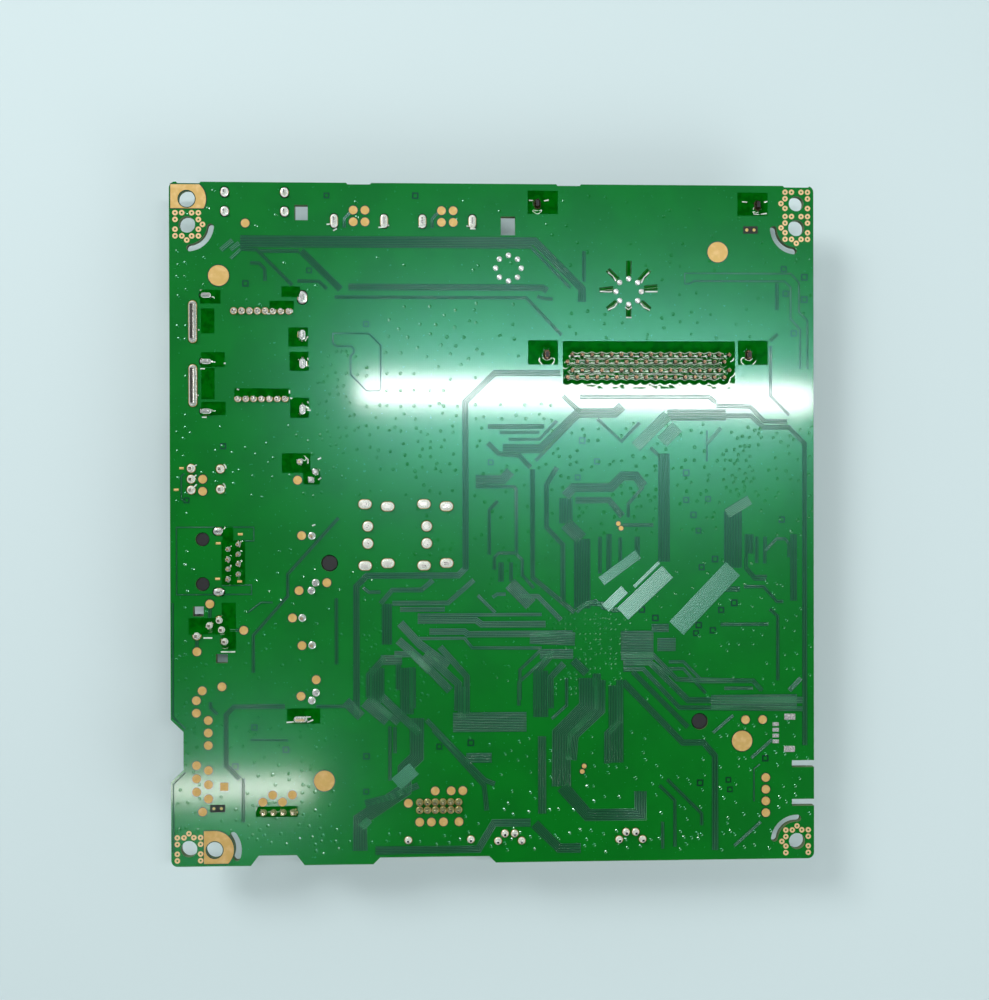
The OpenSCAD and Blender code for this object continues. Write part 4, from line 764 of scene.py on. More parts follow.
@dataclass
class Sweep:
    """Lines with sloping sides, swept along many routes at once.

    Attributes:
        half: half the width at the foot, in millimetres.
        crest: width of the crest as a share of the foot's.
        height: height as a share of the half width.
        pitch: distance between neighbouring lines.
        lift: height of the foot over the face.
        smooth: whether its edges are rounded off.
    """

    half: float = 0.13
    crest: float = 0.5
    height: float = 0.28
    pitch: float = 0.42
    lift: float = -0.002
    smooth: bool = True

    def recipe(self, name: str, finish: Finishes) -> Recipe:
        """Builds the nodes that copy each route sideways and give it a section.

        Args:
            name: the tree's name.
            finish: what the lines are made of.

        Returns:
            The recipe; the routes carry their copies, sides and half widths.
        """
        r = Recipe(name)
        pitch, crest = r.given("Pitch", self.pitch * MM), r.given("Crest", self.crest)
        height = r.given("Height", self.height)
        copies = r.named("copies", "INT")
        curve = r.node("GeometryNodeMeshToCurve", None, {0: r.shape})
        many = r.node("GeometryNodeDuplicateElements", {"domain": "SPLINE"},
                      {"Geometry": curve, "Amount": copies})
        step = (many.out("Duplicate Index") - (copies - 1) * 0.5) * pitch
        aside = r.scale(r.named("side", "FLOAT_VECTOR"), step)
        spread = r.node("GeometryNodeSetPosition", None, {"Geometry": many, "Offset": aside})
        level = r.node("GeometryNodeSetCurveNormal", {"mode": "Z_UP"}, {0: spread})
        section = r.node("GeometryNodeCurvePrimitiveQuadrilateral", {"mode": "TRAPEZOID"},
                         {"Height": height, "Bottom Width": crest * 2, "Top Width": 2.0, "Offset": 0.0})
        swept = r.node("GeometryNodeCurveToMesh", None,
                       {"Curve": level, "Profile Curve": section, "Scale": r.named("half", "FLOAT"),
                        "Fill Caps": True})
        shaded = r.node("GeometryNodeSetShadeSmooth", None, {"Geometry": swept, "Shade Smooth": self.smooth})
        r.close(shaded, finish.material)
        return r

    def routes(self, bundles: list[Bundle], halves: list[float]) -> bpy.types.Mesh:
        """Lays the routes out as one mesh of edges.

        Args:
            bundles: what to sweep.
            halves: half width of each, in millimetres.

        Returns:
            The mesh, with its copies, sides and half widths on its points.
        """
        verts, edges, sides, copies, widths = [], [], [], [], []
        for k, (bundle, half) in enumerate(zip(bundles, halves)):
            start = len(verts)
            z = FACE + self.lift + half * self.height / 2 + CROSSING * k
            verts += [(x, y, z) for x, y in bundle.path]
            edges += [(i, i + 1) for i in range(start, len(verts) - 1)]
            sides += [c for side in side_vectors(list(bundle.path)) for c in side]
            copies += [bundle.copies] * len(bundle.path)
            widths += [half * MM] * len(bundle.path)
        mesh = mesh_of(verts, edges)
        mesh.attributes.new("copies", "INT", "POINT").data.foreach_set("value", copies)
        mesh.attributes.new("side", "FLOAT_VECTOR", "POINT").data.foreach_set("vector", sides)
        number_points(mesh, "half", widths)
        return mesh

    def build(self, name: str, finish: Finishes, bundles: list[Bundle], halves: list[float] | None = None,
              *stands_for: str) -> bpy.types.Object:
        """Sweeps the bundles into one piece.

        Args:
            name: the piece's name.
            finish: what it is made of.
            bundles: the routes.
            halves: half widths that differ from the usual one.
            stands_for: frame nodes that it replaces.

        Returns:
            The piece.
        """
        mesh = self.routes(bundles, halves or [self.half] * len(bundles))
        made = grow(name, self.recipe(name + " nodes", finish), mesh, Pitch=self.pitch * MM, Crest=self.crest,
                    Height=self.height)
        return fit(made, finish, *stands_for)


@dataclass
class Tracks:
    """The masked copper lines, and the dark gaps between and beside them.

    Attributes:
        gap: how far a bundle's gap reaches past its outer lines, in millimetres.
        gap_lift: height of the gap's dark band over the face.
        line: how a line is swept.
        ridge: how the lines of a pale patch are swept.
        ridges: the pale patches' bundles.
        bundles: the other bundles.
    """

    gap: float = 0.13
    gap_lift: float = 0.004
    line: Sweep = field(default_factory=Sweep)
    ridge: Sweep = field(default_factory=lambda: Sweep(half=0.2, crest=0.24, height=0.42, smooth=False))
    ridges: list[Bundle] = field(default_factory=lambda: [Bundle.of(*row) for row in (
        (10, 33, -23.5, 44.7, -12.6), (2, 36, -16.5, 42.5, -10.2), (12, 47, -27.3, 61.8, -11.9),
        (6, 60.2, 2.4, 66.2, 6), (6, 27.5, -15, 37, -8), (7, 36.5, 19.8, 44.7, 28),
        (3, -69.9, 70.1, -66.9, 72.6), (3, -67.4, 70.2, -65.2, 71.9), (2, -67.4, 67.9, -64.9, 70.3),
        (2, 71.6, 47.2, 73.6, 49), (2, 55, 20.5, 58.7, 24.6), (5, -34.6, -78, -32.6, -76),
        (9, -25.6, -67, -21, -63), (6, 28.5, -22, 33.5, -17.2), (8, 43.3, 21, 47.3, 25))])
    bundles: list[Bundle] = field(default_factory=lambda: [Bundle.of(*row) for row in (
        # upper edge and card slot
        (5, -65, 72.8, 10.4, 72.8, 22.6, 60.6, 22.6, 57.2), (2, -65, 71.3, 9.4, 71.3, 19.6, 60.8),
        (2, 23.1, 70.3, 23.1, 62.4), (4, -37.5, 60.8, 12.5, 60.8, 13.6, 60),
        (2, 11, 58.6, 12.5, 58.1, 15, 57.9), (2, -41, 58.2, 8.2, 58.2, 17.3, 48.6),
        (4, -49.5, 70, -39.5, 60.2), (2, -60, 69.9, -50, 69.9), (2, -65, 70.4, -60.8, 70.2, -51.8, 61.2),
        (2, -62.5, 66.9, -60.2, 66.8, -58.8, 65.4, -58.7, 62.3), (2, -50.5, 62.3, -45, 62.2, -43, 60.3),
        (2, -38.5, 76, -38.5, 78.3, -36.9, 80), (2, -16, 76, -16, 78.3, -14.5, 80),
        (1, 81.4, 40, 81.4, 52.6, 79.2, 54.8, 79.2, 62.5, 77.1, 64.7, 49.3, 64.7, 49.3, 62, 50.6, 62, 51.7,
         62.7, 75.5, 62.7, 77, 61.2, 77, 53, 79.5, 50.2, 79.5, 40), (2, 73.4, 62.2, 73.4, 55.3),
        (2, 71.7, 46, 71.7, 33, 76.6, 28),
        (1, -41.5, 46.4, -41.5, 48.9, -32.3, 48.9, -29.3, 45.9, -29.3, 34.7, -29.8, 34.2, -32.9, 34.2, -37,
         38.4, -37, 43, -36.2, 44, -36.2, 45, -36.8, 45.6, -40.5, 45.6, -41.5, 46.4),
        # left of the middle
        (4, 17, 38.8, 0, 38.8, -7.6, 31.4, -7.6, -11.4, -9.5, -13.3, -33, -13.3, -35.7, -16, -35.7, -49),
        (2, -40.2, 1.6, -53.2, -12.8, -53.2, -18.4, -62, -28.4, -62, -38),
        (1, -57, -20, -60, -20, -63.4, -22.6), (2, -40.8, -19, -40.8, -36),
        (2, -34, -16.3, -32.5, -17.5, -29.5, -17.5), (3, -29.5, -20.5, -26.5, -17, -19, -17, -16, -14.5),
        (3, -26.5, -20.4, -12.2, -20.4, -5.5, -14.5), (3, -24.5, -22, -13, -22), (2, -20, -23.5, 12, -23.5),
        (4, -20, -24.9, -5, -24.9, -3.5, -26, 13, -26), (4, -17, -27.8, -8, -27.8, -7, -28.5, 20, -28.5),
        (2, -20, -29.5, -8, -29.5, -6, -32, 12, -32.2), (6, -27.9, -20.5, -27.9, -31),
        (5, -24.5, -25.5, -19.5, -31, -12, -36.5), (4, -26, -33.5, -21.5, -33.5, -17, -38),
        (6, -29.5, -35, -24, -35), (9, -30.5, -37, -30.5, -46), (8, -22.8, -37, -22.8, -49),
        (6, -38.5, -45.5, -34.5, -49.5), (8, -33.5, -45.5, -27.5, -50.5), (2, -46, -46.8, -37, -46.8),
        (5, -8.7, -42, -8.7, -50),
        # middle
        (2, -0.2, -11.9, -0.2, -8.7, 0.9, -7.6, 5.2, -7.6, 7, -9.4, 7, -13.3, 10, -16.7),
        (3, 1.5, -10, 1.5, -15), (2, 4.1, -10, 4.1, -15), (8, 3.8, -15.5, 9.2, -21),
        (3, 6.5, -18.8, 11, -18.8, 17, -25), (3, 9.7, 14, 9.7, -14, 20.5, -23),
        (2, -0.7, -19, 0.5, -18.2, 2.7, -18.2), (2, -4.5, -18.5, 0, -23),
        (2, 21, -23, 24, -20.5, 26, -20, 28, -22, 32, -22.5), (2, 15, -33, 10, -37.5, 6, -41, 6, -47),
        (9, 11.7, -38, 11.7, -50), (2, 18.4, -40, 18.4, -47, 14.5, -50.5),
        (12, 24, -40, 24, -47.5, 17, -54.5, 17, -68), (8, 17.2, -68, 23.8, -75.5, 37.5, -75.5, 37.5, -69.5),
        (9, 31.2, -42, 31.2, -62), (6, -5, 11.3, 2, 11.3, 4, 13.5), (2, -5, 9.5, 5, 9.5, 5.5, 8.8, 5.5, -8),
        (2, 0.7, 5.8, -1.5, 3.5, -1.5, -8), (3, -1.8, 25, 12.8, 25), (2, 1.2, 23.5, 11.5, 23.5),
        (2, 3.5, 21.7, 11.5, 21.7, 16, 26.5), (6, 2, 19.3, 12, 19.3, 21.5, 28.5, 31, 28.5, 33, 30.3),
        (2, 10.5, 16.2, 20, 26), (3, -1.8, 20.8, 1, 18, 6.2, 17.6, 9.2, 14.5), (3, 17.5, 33, 22, 28.8),
        (2, 26.5, 27, 32.8, 21.2, 37.5, 26), (10, 22.5, -4, 22.5, -22), (8, 18.3, 0, 22.3, -4),
        (8, 18.3, 6.5, 18.3, 0), (6, 18.2, 7, 20.2, 9.2, 30, 9.2, 33, 12.2, 36.5, 12.2, 38.5, 9.5),
        (4, 20.8, 6, 29.5, 6, 33, 1.8), (2, 38.5, 9.5, 34.5, 5, 34.5, 1.5),
        (3, 16, 14.5, 13.3, 10, 13.3, -1, 17.5, -5.5, 17.5, -20),
        # right of the middle
        (18, 32.5, -31.7, 41, -31.7), (11, 61.8, -11.7, 61.8, 3), (7, 43.8, 18, 43.8, -10),
        (2, 40.3, 19.5, 42.6, 17.4), (7, 44.7, 28, 60, 28), (3, 22, 32.7, 55.5, 32.7, 57.5, 31.2),
        (3, 60, 27.8, 66.5, 27.8, 69.8, 24.8, 76.5, 24.8, 80.6, 20.6, 80.6, -58),
        (3, 57.5, 30.4, 66.3, 30.2, 70, 26.4, 76, 26.2), (1, 55, 24, 55, 16), (2, 33, -0.5, 41, -0.5),
        (3, 66.5, -3, 66.5, -8), (2, 70.2, -7.3, 73.2, -4.2, 75.5, -4.2, 76.5, -5.5, 76.5, -9),
        (8, 42, -31.5, 46.8, -31.5), (5, 40.5, -27.2, 45, -27.2), (2, 36, -36.4, 41, -36.4, 45, -39.6),
        (2, 45, -36, 48.8, -36, 53.2, -40.5, 66.5, -41, 69.5, -43.6),
        (2, 45, -37.8, 48.8, -37.8, 54.6, -44.2), (2, 59.5, -43, 67, -43), (9, 56, -46.6, 78.5, -46.6),
        (3, 76.5, -43.7, 79.6, -40.5), (2, 71.5, -22.5, 73.5, -24.3, 73.5, -41),
        (2, 58.5, -26.4, 71, -26.4), (2, 64.7, -16.6, 69.8, -16.6, 73.3, -20.5, 75, -20.5),
        (4, 77.7, -3, 77.7, -20.3), (2, 65.2, -9, 65.2, -12, 67.5, -14.6, 70.5, -14.6),
        (3, 59, -17.2, 63.6, -17.2),
        # lower edge
        (4, 33, -41, 48.6, -57, 54, -57, 57, -60.5, 57, -85), (3, 35.5, -38.4, 41, -44, 50, -53),
        (2, 56.5, -54.5, 61.8, -50), (2, 66.5, -61.2, 72, -56.4), (2, 42.5, -68, 46.5, -72, 46.5, -84),
        (2, 44.5, -66.5, 53.5, -75.5, 53.5, -78.5), (2, 43.3, -77.5, 43.3, -84.5), (2, 62, -84, 69, -77.8),
        (1, 68.8, -62.8, 67.2, -64, 67.2, -72.5), (5, 12, -55, 12, -75), (6, 10, -77.6, 16.4, -84, 22, -84),
        (12, -11, -51.2, 8, -51.2), (3, -16, -53, -3, -67.6, -2.3, -74), (6, -7.6, -60.4, -1, -60.4),
        (5, -31, -84, -4.5, -84, -0.5, -77.3, 9, -77.3),
        (9, -20.3, -50, -20.3, -60, -23.5, -63, -23.5, -68.5, -34.9, -76, -34.9, -84),
        (2, -27.2, -52, -27.2, -66), (3, -54, -46.7, -67, -46.7, -69, -48.7, -69, -61.7, -65.6, -65.2),
        (2, -64.7, -65, -64.7, -76.3), (2, -72.9, -45.4, -72.9, -46.9, -71.2, -48.6),
        (1, -62.8, -55.2, -53.2, -55.4), (1, -82.4, -84, -82.4, -66.4, -79.3, -63.3),
        (1, -79.3, -52.2, -82.4, -49.2, -82.4, -20),
        # the sockets' outlines and links
        (1, -64.8, -4.2, -61.8, -4.2, -61.8, -0.7, -81.4, -0.7, -81.4, -17.9, -62.4, -17.9, -62.4, -15.5,
         -70, -15.5), (2, -76.3, -31.3, -76.3, -29.4), (2, -73, -21.6, -73.1, -24.6),
        (2, -65.7, -27.1, -68.8, -27), (1, -79.4, 13, -80.1, 12.4, -80.1, 6.5, -78.8, 5.6),
        # the fan round the processor and the knots to its lower left
        (4, -33.6, -71.8, -26.8, -70.2, -19.9, -67.3), (2, -25.9, -52.2, -25.9, -59),
        (4, -31.8, -45.3, -25, -51.3), (5, -29.3, -44.4, -19.5, -54),
        (4, -28.4, -34.3, -32.5, -38.8, -32.5, -44.6), (3, -25, -35.9, -25, -42.7),
        (4, -21.4, -36.9, -21.4, -47.5), (5, -18.1, -33.4, -9.6, -41.3, -9.6, -48.2),
        (4, -14.3, -31.7, -7.4, -39.4, -7.5, -48.9), (5, -25, -29.9, -19.9, -34.4, -11.7, -43),
        (3, -17.8, -50.5, -2.8, -66.2, -0.2, -67.2), (7, 27, -40.6, 27, -48.4, 20.1, -54.8, 19.5, -61.2),
        (4, 32.2, -40.6, 32.2, -51.2, 28.9, -54.4, 28.9, -62.2), (2, 11.7, -32.7, 6.3, -37.8, 6.3, -45.6),
        (5, 14.3, -33.8, 10.8, -38, 10.8, -47.8), (4, 17.7, -36.2, 14.2, -39.8, 14.2, -47.8),
        (3, 32.7, -34.1, 40.9, -34.2, 47, -40.5, 53.9, -41, 67, -41.1, 69.2, -43.5),
        (4, 33.1, -36.1, 40, -36.1, 50, -46, 80.2, -46.2),
        (3, 33.1, -37.8, 38.3, -37.8, 47.7, -47.9, 80.1, -48.5), (8, 8.9, -29.4, 20.6, -29.9),
        (6, 11.5, -33.7, 20.1, -33.8), (3, 21.5, -22.2, 23.6, -20.7, 27.9, -20.9, 30.5, -22.5, 33, -22.3),
        (2, 27.1, -3.5, 27.1, -13), (3, 29.5, -2.8, 29.4, -12.1), (2, 32.4, -3.7, 32.4, -12.1),
        (3, 36.8, -3.5, 36.8, -9.7), (2, 65.3, -2.9, 65.3, -11.6, 67.5, -14, 70.7, -14),
        (2, 68, -3.6, 68, -10.5), (2, 70.2, -3.6, 70.1, -10.6), (5, 20.1, -35.4, 23.6, -38.8),
        (5, 26.2, -38.9, 26.2, -42.3))])

    def build(self) -> None:
        """Makes the lines and, under them, one dark band for each bundle."""
        self.line.build("masked_lines", Finishes.TRACK, self.bundles, None, "tracks_upper", "tracks_lower")
        self.ridge.build("masked_ridges", Finishes.TRACK, self.ridges)
        both = self.bundles + self.ridges
        wide = [(b.copies - 1) / 2 * self.line.pitch + self.line.half + self.gap for b in both]
        band = Sweep(crest=1.0, height=0.001, lift=self.gap_lift, smooth=False)
        band.build("bare_gaps", Finishes.GAP, [Bundle(1, b.path) for b in both], wide)


@dataclass(frozen=True)
class Rim:
    """A skirt that shows round the foot of every body of some nodes.

    Attributes:
        name: the piece's name.
        nodes: the frame nodes that it surrounds.
        reach: how far it spreads, in millimetres.
        lift: its height over the face.
        finish: what it is made of.
    """

    name: str
    nodes: tuple[str, ...]
    reach: float
    lift: float
    finish: Finishes

    def build(self) -> None:
        """Presses copies of the nodes flat and spreads their walls."""
        r = Recipe(self.name + " nodes")
        reach, level = r.given("Reach", self.reach * MM), r.given("Level", 0.0)
        nx, ny, _ = r.axes(r.node("GeometryNodeInputNormal"))
        out = r.vector("NORMALIZE", r.join(nx, ny, 0.0))
        px, py, pz = r.axes(r.node("GeometryNodeInputPosition"))
        place_to = r.vector("ADD", r.join(px, py, r.math("MINIMUM", pz, level)), r.scale(out, reach))
        pressed = r.node("GeometryNodeSetPosition", None, {"Geometry": r.shape, "Position": place_to})
        r.close(pressed, self.finish.material)
        parts = [grow(f"{self.name}_{node}", r, merged(node), Reach=self.reach * MM,
                      Level=(FACE + self.lift) * MM) for node in self.nodes]
        fit(joined(self.name, parts), self.finish)


class Surface:
    """Answers what lies at a point of the board's face.

    Attributes:
        depth: how far below the face a node may end and still be looked at, in millimetres.
        start: height over the face from which it is looked at.
        flush: how far from the face still counts as the face.
        trees: what is looked at.
    """

    depth = 0.2
    start = 5
    flush = 0.003

    def __init__(self, *added: bpy.types.Object) -> None:
        """Sorts the frame's nodes and added pieces into trees for rays from above."""
        nodes = [p for n, p in frame["nodes"].items()
                 if p.data.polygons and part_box(n)[1].z / MM > FACE - self.depth]
        self.trees = []
        for piece in (*nodes, *added):
            verts = [v.co / MM for v in piece.data.vertices]
            self.trees.append(BVHTree.FromPolygons(verts, [tuple(p.vertices) for p in piece.data.polygons]))

    def top(self, x: float, y: float) -> float:
        """Gives the height of what is seen at a point, or -1 for nothing."""
        eye, down = Vector((x, y, FACE + self.start)), Vector((0, 0, -1))
        hits = [tree.ray_cast(eye, down)[0] for tree in self.trees]
        return max([hit.z for hit in hits if hit] + [-1.0])

    def plain(self, x: float, y: float, room: float) -> bool:
        """Tells if the face is bare mask all round a point.

        Args:
            x: place across the board.
            y: place along the board.
            room: how much room is needed each way.

        Returns:
            True where nothing but the board's face is seen from above.
        """
        spots = ((0, 0), (room, 0), (-room, 0), (0, room), (0, -room))
        return all(abs(self.top(x + dx, y + dy) - FACE) < self.flush for dx, dy in spots)


@dataclass(frozen=True)
class Field:
    """A patch of board with filled vias on a loose grid, in millimetres.

    Attributes:
        low: its lowest corner.
        high: its highest corner.
        step: pitch of the grid each way.
        keep: share of the grid's points that are kept.
        jitter: how far a point may be off the grid.
    """

    low: Point
    high: Point
    step: Point
    keep: float = 1.0
    jitter: float = 0.0

    def points(self, chance: random.Random) -> list[Point]:
        """Lists the grid's points, some left out and all a little off.

        Args:
            chance: where the random numbers come from.

        Returns:
            The points.
        """
        found = []
        columns = int((self.high[0] - self.low[0]) / self.step[0]) + 1
        rows = int((self.high[1] - self.low[1]) / self.step[1]) + 1
        for i in range(columns):
            for j in range(rows):
                off = [chance.uniform(-self.jitter, self.jitter) for _ in range(2)]
                if chance.random() < self.keep:
                    found.append((self.low[0] + i * self.step[0] + off[0],
                                  self.low[1] + j * self.step[1] + off[1]))
        return found


@dataclass
class Studs:
    """Small tapered rings or bumps set on points: vias, marks and dots.

    Attributes:
        name: the piece's name.
        finish: what they are made of.
        sides: number of sides, 4 for squares.
        top: radius at the top, in millimetres.
        foot: radius at the foot.
        height: height over the face.
        filled: whether the top is closed.
        uneven: how much they differ in size.
        seed: seed of that difference.
        lift: height of their middle over the face.
    """

    name: str
    finish: Finishes
    sides: int = 8
    top: float = 0.24
    foot: float = 0.45
    height: float = 0.066
    filled: bool = True
    uneven: float = 0.1
    seed: int = 7
    lift: float = 0.006

    def recipe(self) -> Recipe:
        """Builds the nodes that set one stud on each point."""
        r = Recipe(self.name + " nodes")
        top, foot = r.given("Top Radius", self.top * MM), r.given("Foot Radius", self.foot * MM)
        height, seed = r.given("Height", self.height * MM), r.given("Seed", self.seed)
        uneven = r.given("Uneven", self.uneven)
        stud = r.node("GeometryNodeMeshCone", {"fill_type": "NGON" if self.filled else "NONE"},
                      {"Vertices": self.sides, "Radius Top": top, "Radius Bottom": foot, "Depth": height})
        size = r.node("FunctionNodeRandomValue", {"data_type": "FLOAT"},
                      {"Min": 1.0 - uneven, "Max": 1.0 + uneven, "Seed": seed}).out(1)
        spots = r.node("GeometryNodeMeshToPoints", None, {0: r.shape})
        turn = math.pi / 4 if self.sides == 4 else 0.0
        many = r.node("GeometryNodeInstanceOnPoints", None,
                      {"Points": spots, "Instance": stud, "Scale": r.join(size, size, 1.0),
                       "Rotation": (0.0, 0.0, turn)})
        real = r.node("GeometryNodeRealizeInstances", None, {0: many})
        r.close(real, self.finish.material)
        return r

    def build(self, places: list[Point]) -> None:
        """Sets the studs."""
        spots = mesh_of([(x, y, FACE + self.lift) for x, y in places])
        fit(grow(self.name, self.recipe(), spots, Seed=self.seed, Top_Radius=self.top * MM,
                 Foot_Radius=self.foot * MM, Height=self.height * MM, Uneven=self.uneven), self.finish)


@dataclass
class Vias:
    """Where small plated holes lie under the mask, as low bumps.

    Attributes:
        gap: least distance between two, in millimetres.
        room: bare mask that each needs on every side.
        seed: seed of the fields' chance.
        rows: places that are in rows or stand out.
        fields: patches that are filled loosely.
    """

    gap: float = 1.1
    room: float = 0.3
    seed: int = 7
    rows: tuple[Point, ...] = (
        (-27.7, 34.3), (-24.2, 34.3), (-20.8, 34.3), (-16.7, 34.3), (-13.2, 34.3), (-27.7, 30.4),
        (-24.2, 30.2), (-20.8, 30.3), (-16.7, 30.3), (-13.2, 30.3), (-9.6, 30.2), (-27.7, 38.7),
        (-24.2, 38.7), (-20.8, 38.6), (-40.6, 44.3), (-39.4, 44.3), (-38.2, 44.3), (-40.8, 38.9),
        (-38.1, 38.7), (-35.2, 38.3), (-40.3, 37), (-38.8, 35.5), (-40.4, 35.2), (-43.3, 31.6), (-45, 31),
        (-43.3, 28.9), (-45.3, 36.3), (-44, 36.5), (-44.1, 40.5), (-28, 44), (-24.1, 43.9), (-27.2, 48.2),
        (-24.6, 50.1), (-27, 52.5), (-23.2, 55.8), (-19.1, 51.3), (-22.3, 48), (-16.5, 48.8), (-19.8, 45.3),
        (-17.5, 43), (-13.8, 46), (-12.3, 48.1), (-15.1, 51.2), (-12.9, 53.6), (-10, 45.8), (-7.9, 48),
        (-6.5, 52.2), (-10.2, 50.6), (-11.4, 43.7), (-6.7, 42.5), (-4.6, 44.9), (-8.7, 41), (-14.6, 40.4),
        (-11.4, 37.2), (-5, 37.6), (-16.6, 55.9), (-10, 55), (-5.2, 55), (61.5, 23.5), (63, 22),
        (66.2, 22.2), (69.3, 22.2), (72.4, 22.1), (74.4, 21), (68.5, 20.3), (76.4, 19.9), (67.5, 24),
        (76.8, 22.6), (66.3, 17.3), (63, 16.2), (65.3, 16.2), (62, 10.5), (62.8, 8.6), (63.3, 7.2),
        (64.6, 10.6), (66.6, 10.6), (67.8, 8), (65, 12.8), (67, 13.5), (55.3, 11), (53.4, 7.5), (48, 5),
        (73.3, 14), (75.8, 13.4), (73.5, 11.4), (79, 11), (73.7, 7.8), (77.4, 7.7))
    fields: list[Field] = field(default_factory=lambda: [
        Field((-35, 20), (14, 28), (5.2, 4.0), 0.85, 1.2), Field((-4, 40), (8, 57), (4.9, 4.2), 0.8, 1.2),
        Field((-30, 14), (16, 32), (3.2, 3.4), 0.5, 0.7), Field((20, 48), (66, 58), (4.6, 3.6), 0.7, 1.4),
        Field((-66, 46), (-50, 30), (2.0, 2.0), 0.3, 0.2),
        Field((-45, 20), (-33, 45), (2.4, 2.6), 0.45, 0.6),
        Field((-80, 8), (-8, 24), (3.0, 3.2), 0.45, 1.3),
        Field((-82, -56), (-46, -2), (3.6, 4.0), 0.42, 1.7),
        Field((-47, -50), (-20, -12), (3.4, 3.4), 0.35, 1.5),
        Field((-82, 58), (-46, 85), (4.4, 4.4), 0.3, 2.0), Field((-40, 64), (82, 85), (5.0, 4.6), 0.4, 2.2),
        Field((40, 50), (82, 70), (4.2, 4.0), 0.4, 1.8),
        Field((-78, -84), (-40, -52), (2.8, 2.9), 0.55, 1.2),
        Field((-20, -40), (14, 14), (2.8, 3.0), 0.45, 1.2),
        Field((14, -2), (82, 30), (2.7, 2.7), 0.55, 1.1), Field((38, -46), (82, -8), (2.9, 3.0), 0.5, 1.2),
        Field((-10, -84), (60, -50), (3.0, 3.1), 0.5, 1.2),
        Field((60, -84), (82, -48), (2.6, 2.6), 0.5, 1.0), Field((60, 8), (67, 20), (1.2, 1.2), 0.55, 0.2),
        Field((14, -44), (36, -22), (1.3, 1.3), 0.6, 0.2),
        Field((-36, -46), (-16, -24), (1.7, 1.7), 0.4, 0.5), Field((22, 2), (42, 16), (1.8, 1.8), 0.4, 0.5),
        Field((-81, -82), (81, -80), (3.1, 2.0), 0.6, 0.7),
        Field((-81, -84), (-79, 80), (2.0, 3.2), 0.5, 0.4)])

    def places(self, surface: Surface) -> list[Point]:
        """Chooses the vias' places on bare mask.

        Args:
            surface: tells where the mask is bare.

        Returns:
            The places, none too near another.
        """
        chance = random.Random(self.seed)
        wanted = list(self.rows) + [p for patch in self.fields for p in patch.points(chance)]
        kept: list[Point] = []
        cells: dict[tuple[int, int], list[Point]] = {}
        for x, y in wanted:
            column, row = int(x // self.gap), int(y // self.gap)
            near = [p for i in (-1, 0, 1) for j in (-1, 0, 1) for p in cells.get((column + i, row + j), [])]
            if all(math.dist(p, (x, y)) > self.gap for p in near) and surface.plain(x, y, self.room):
                kept.append((x, y))
                cells.setdefault((column, row), []).append((x, y))
        return kept


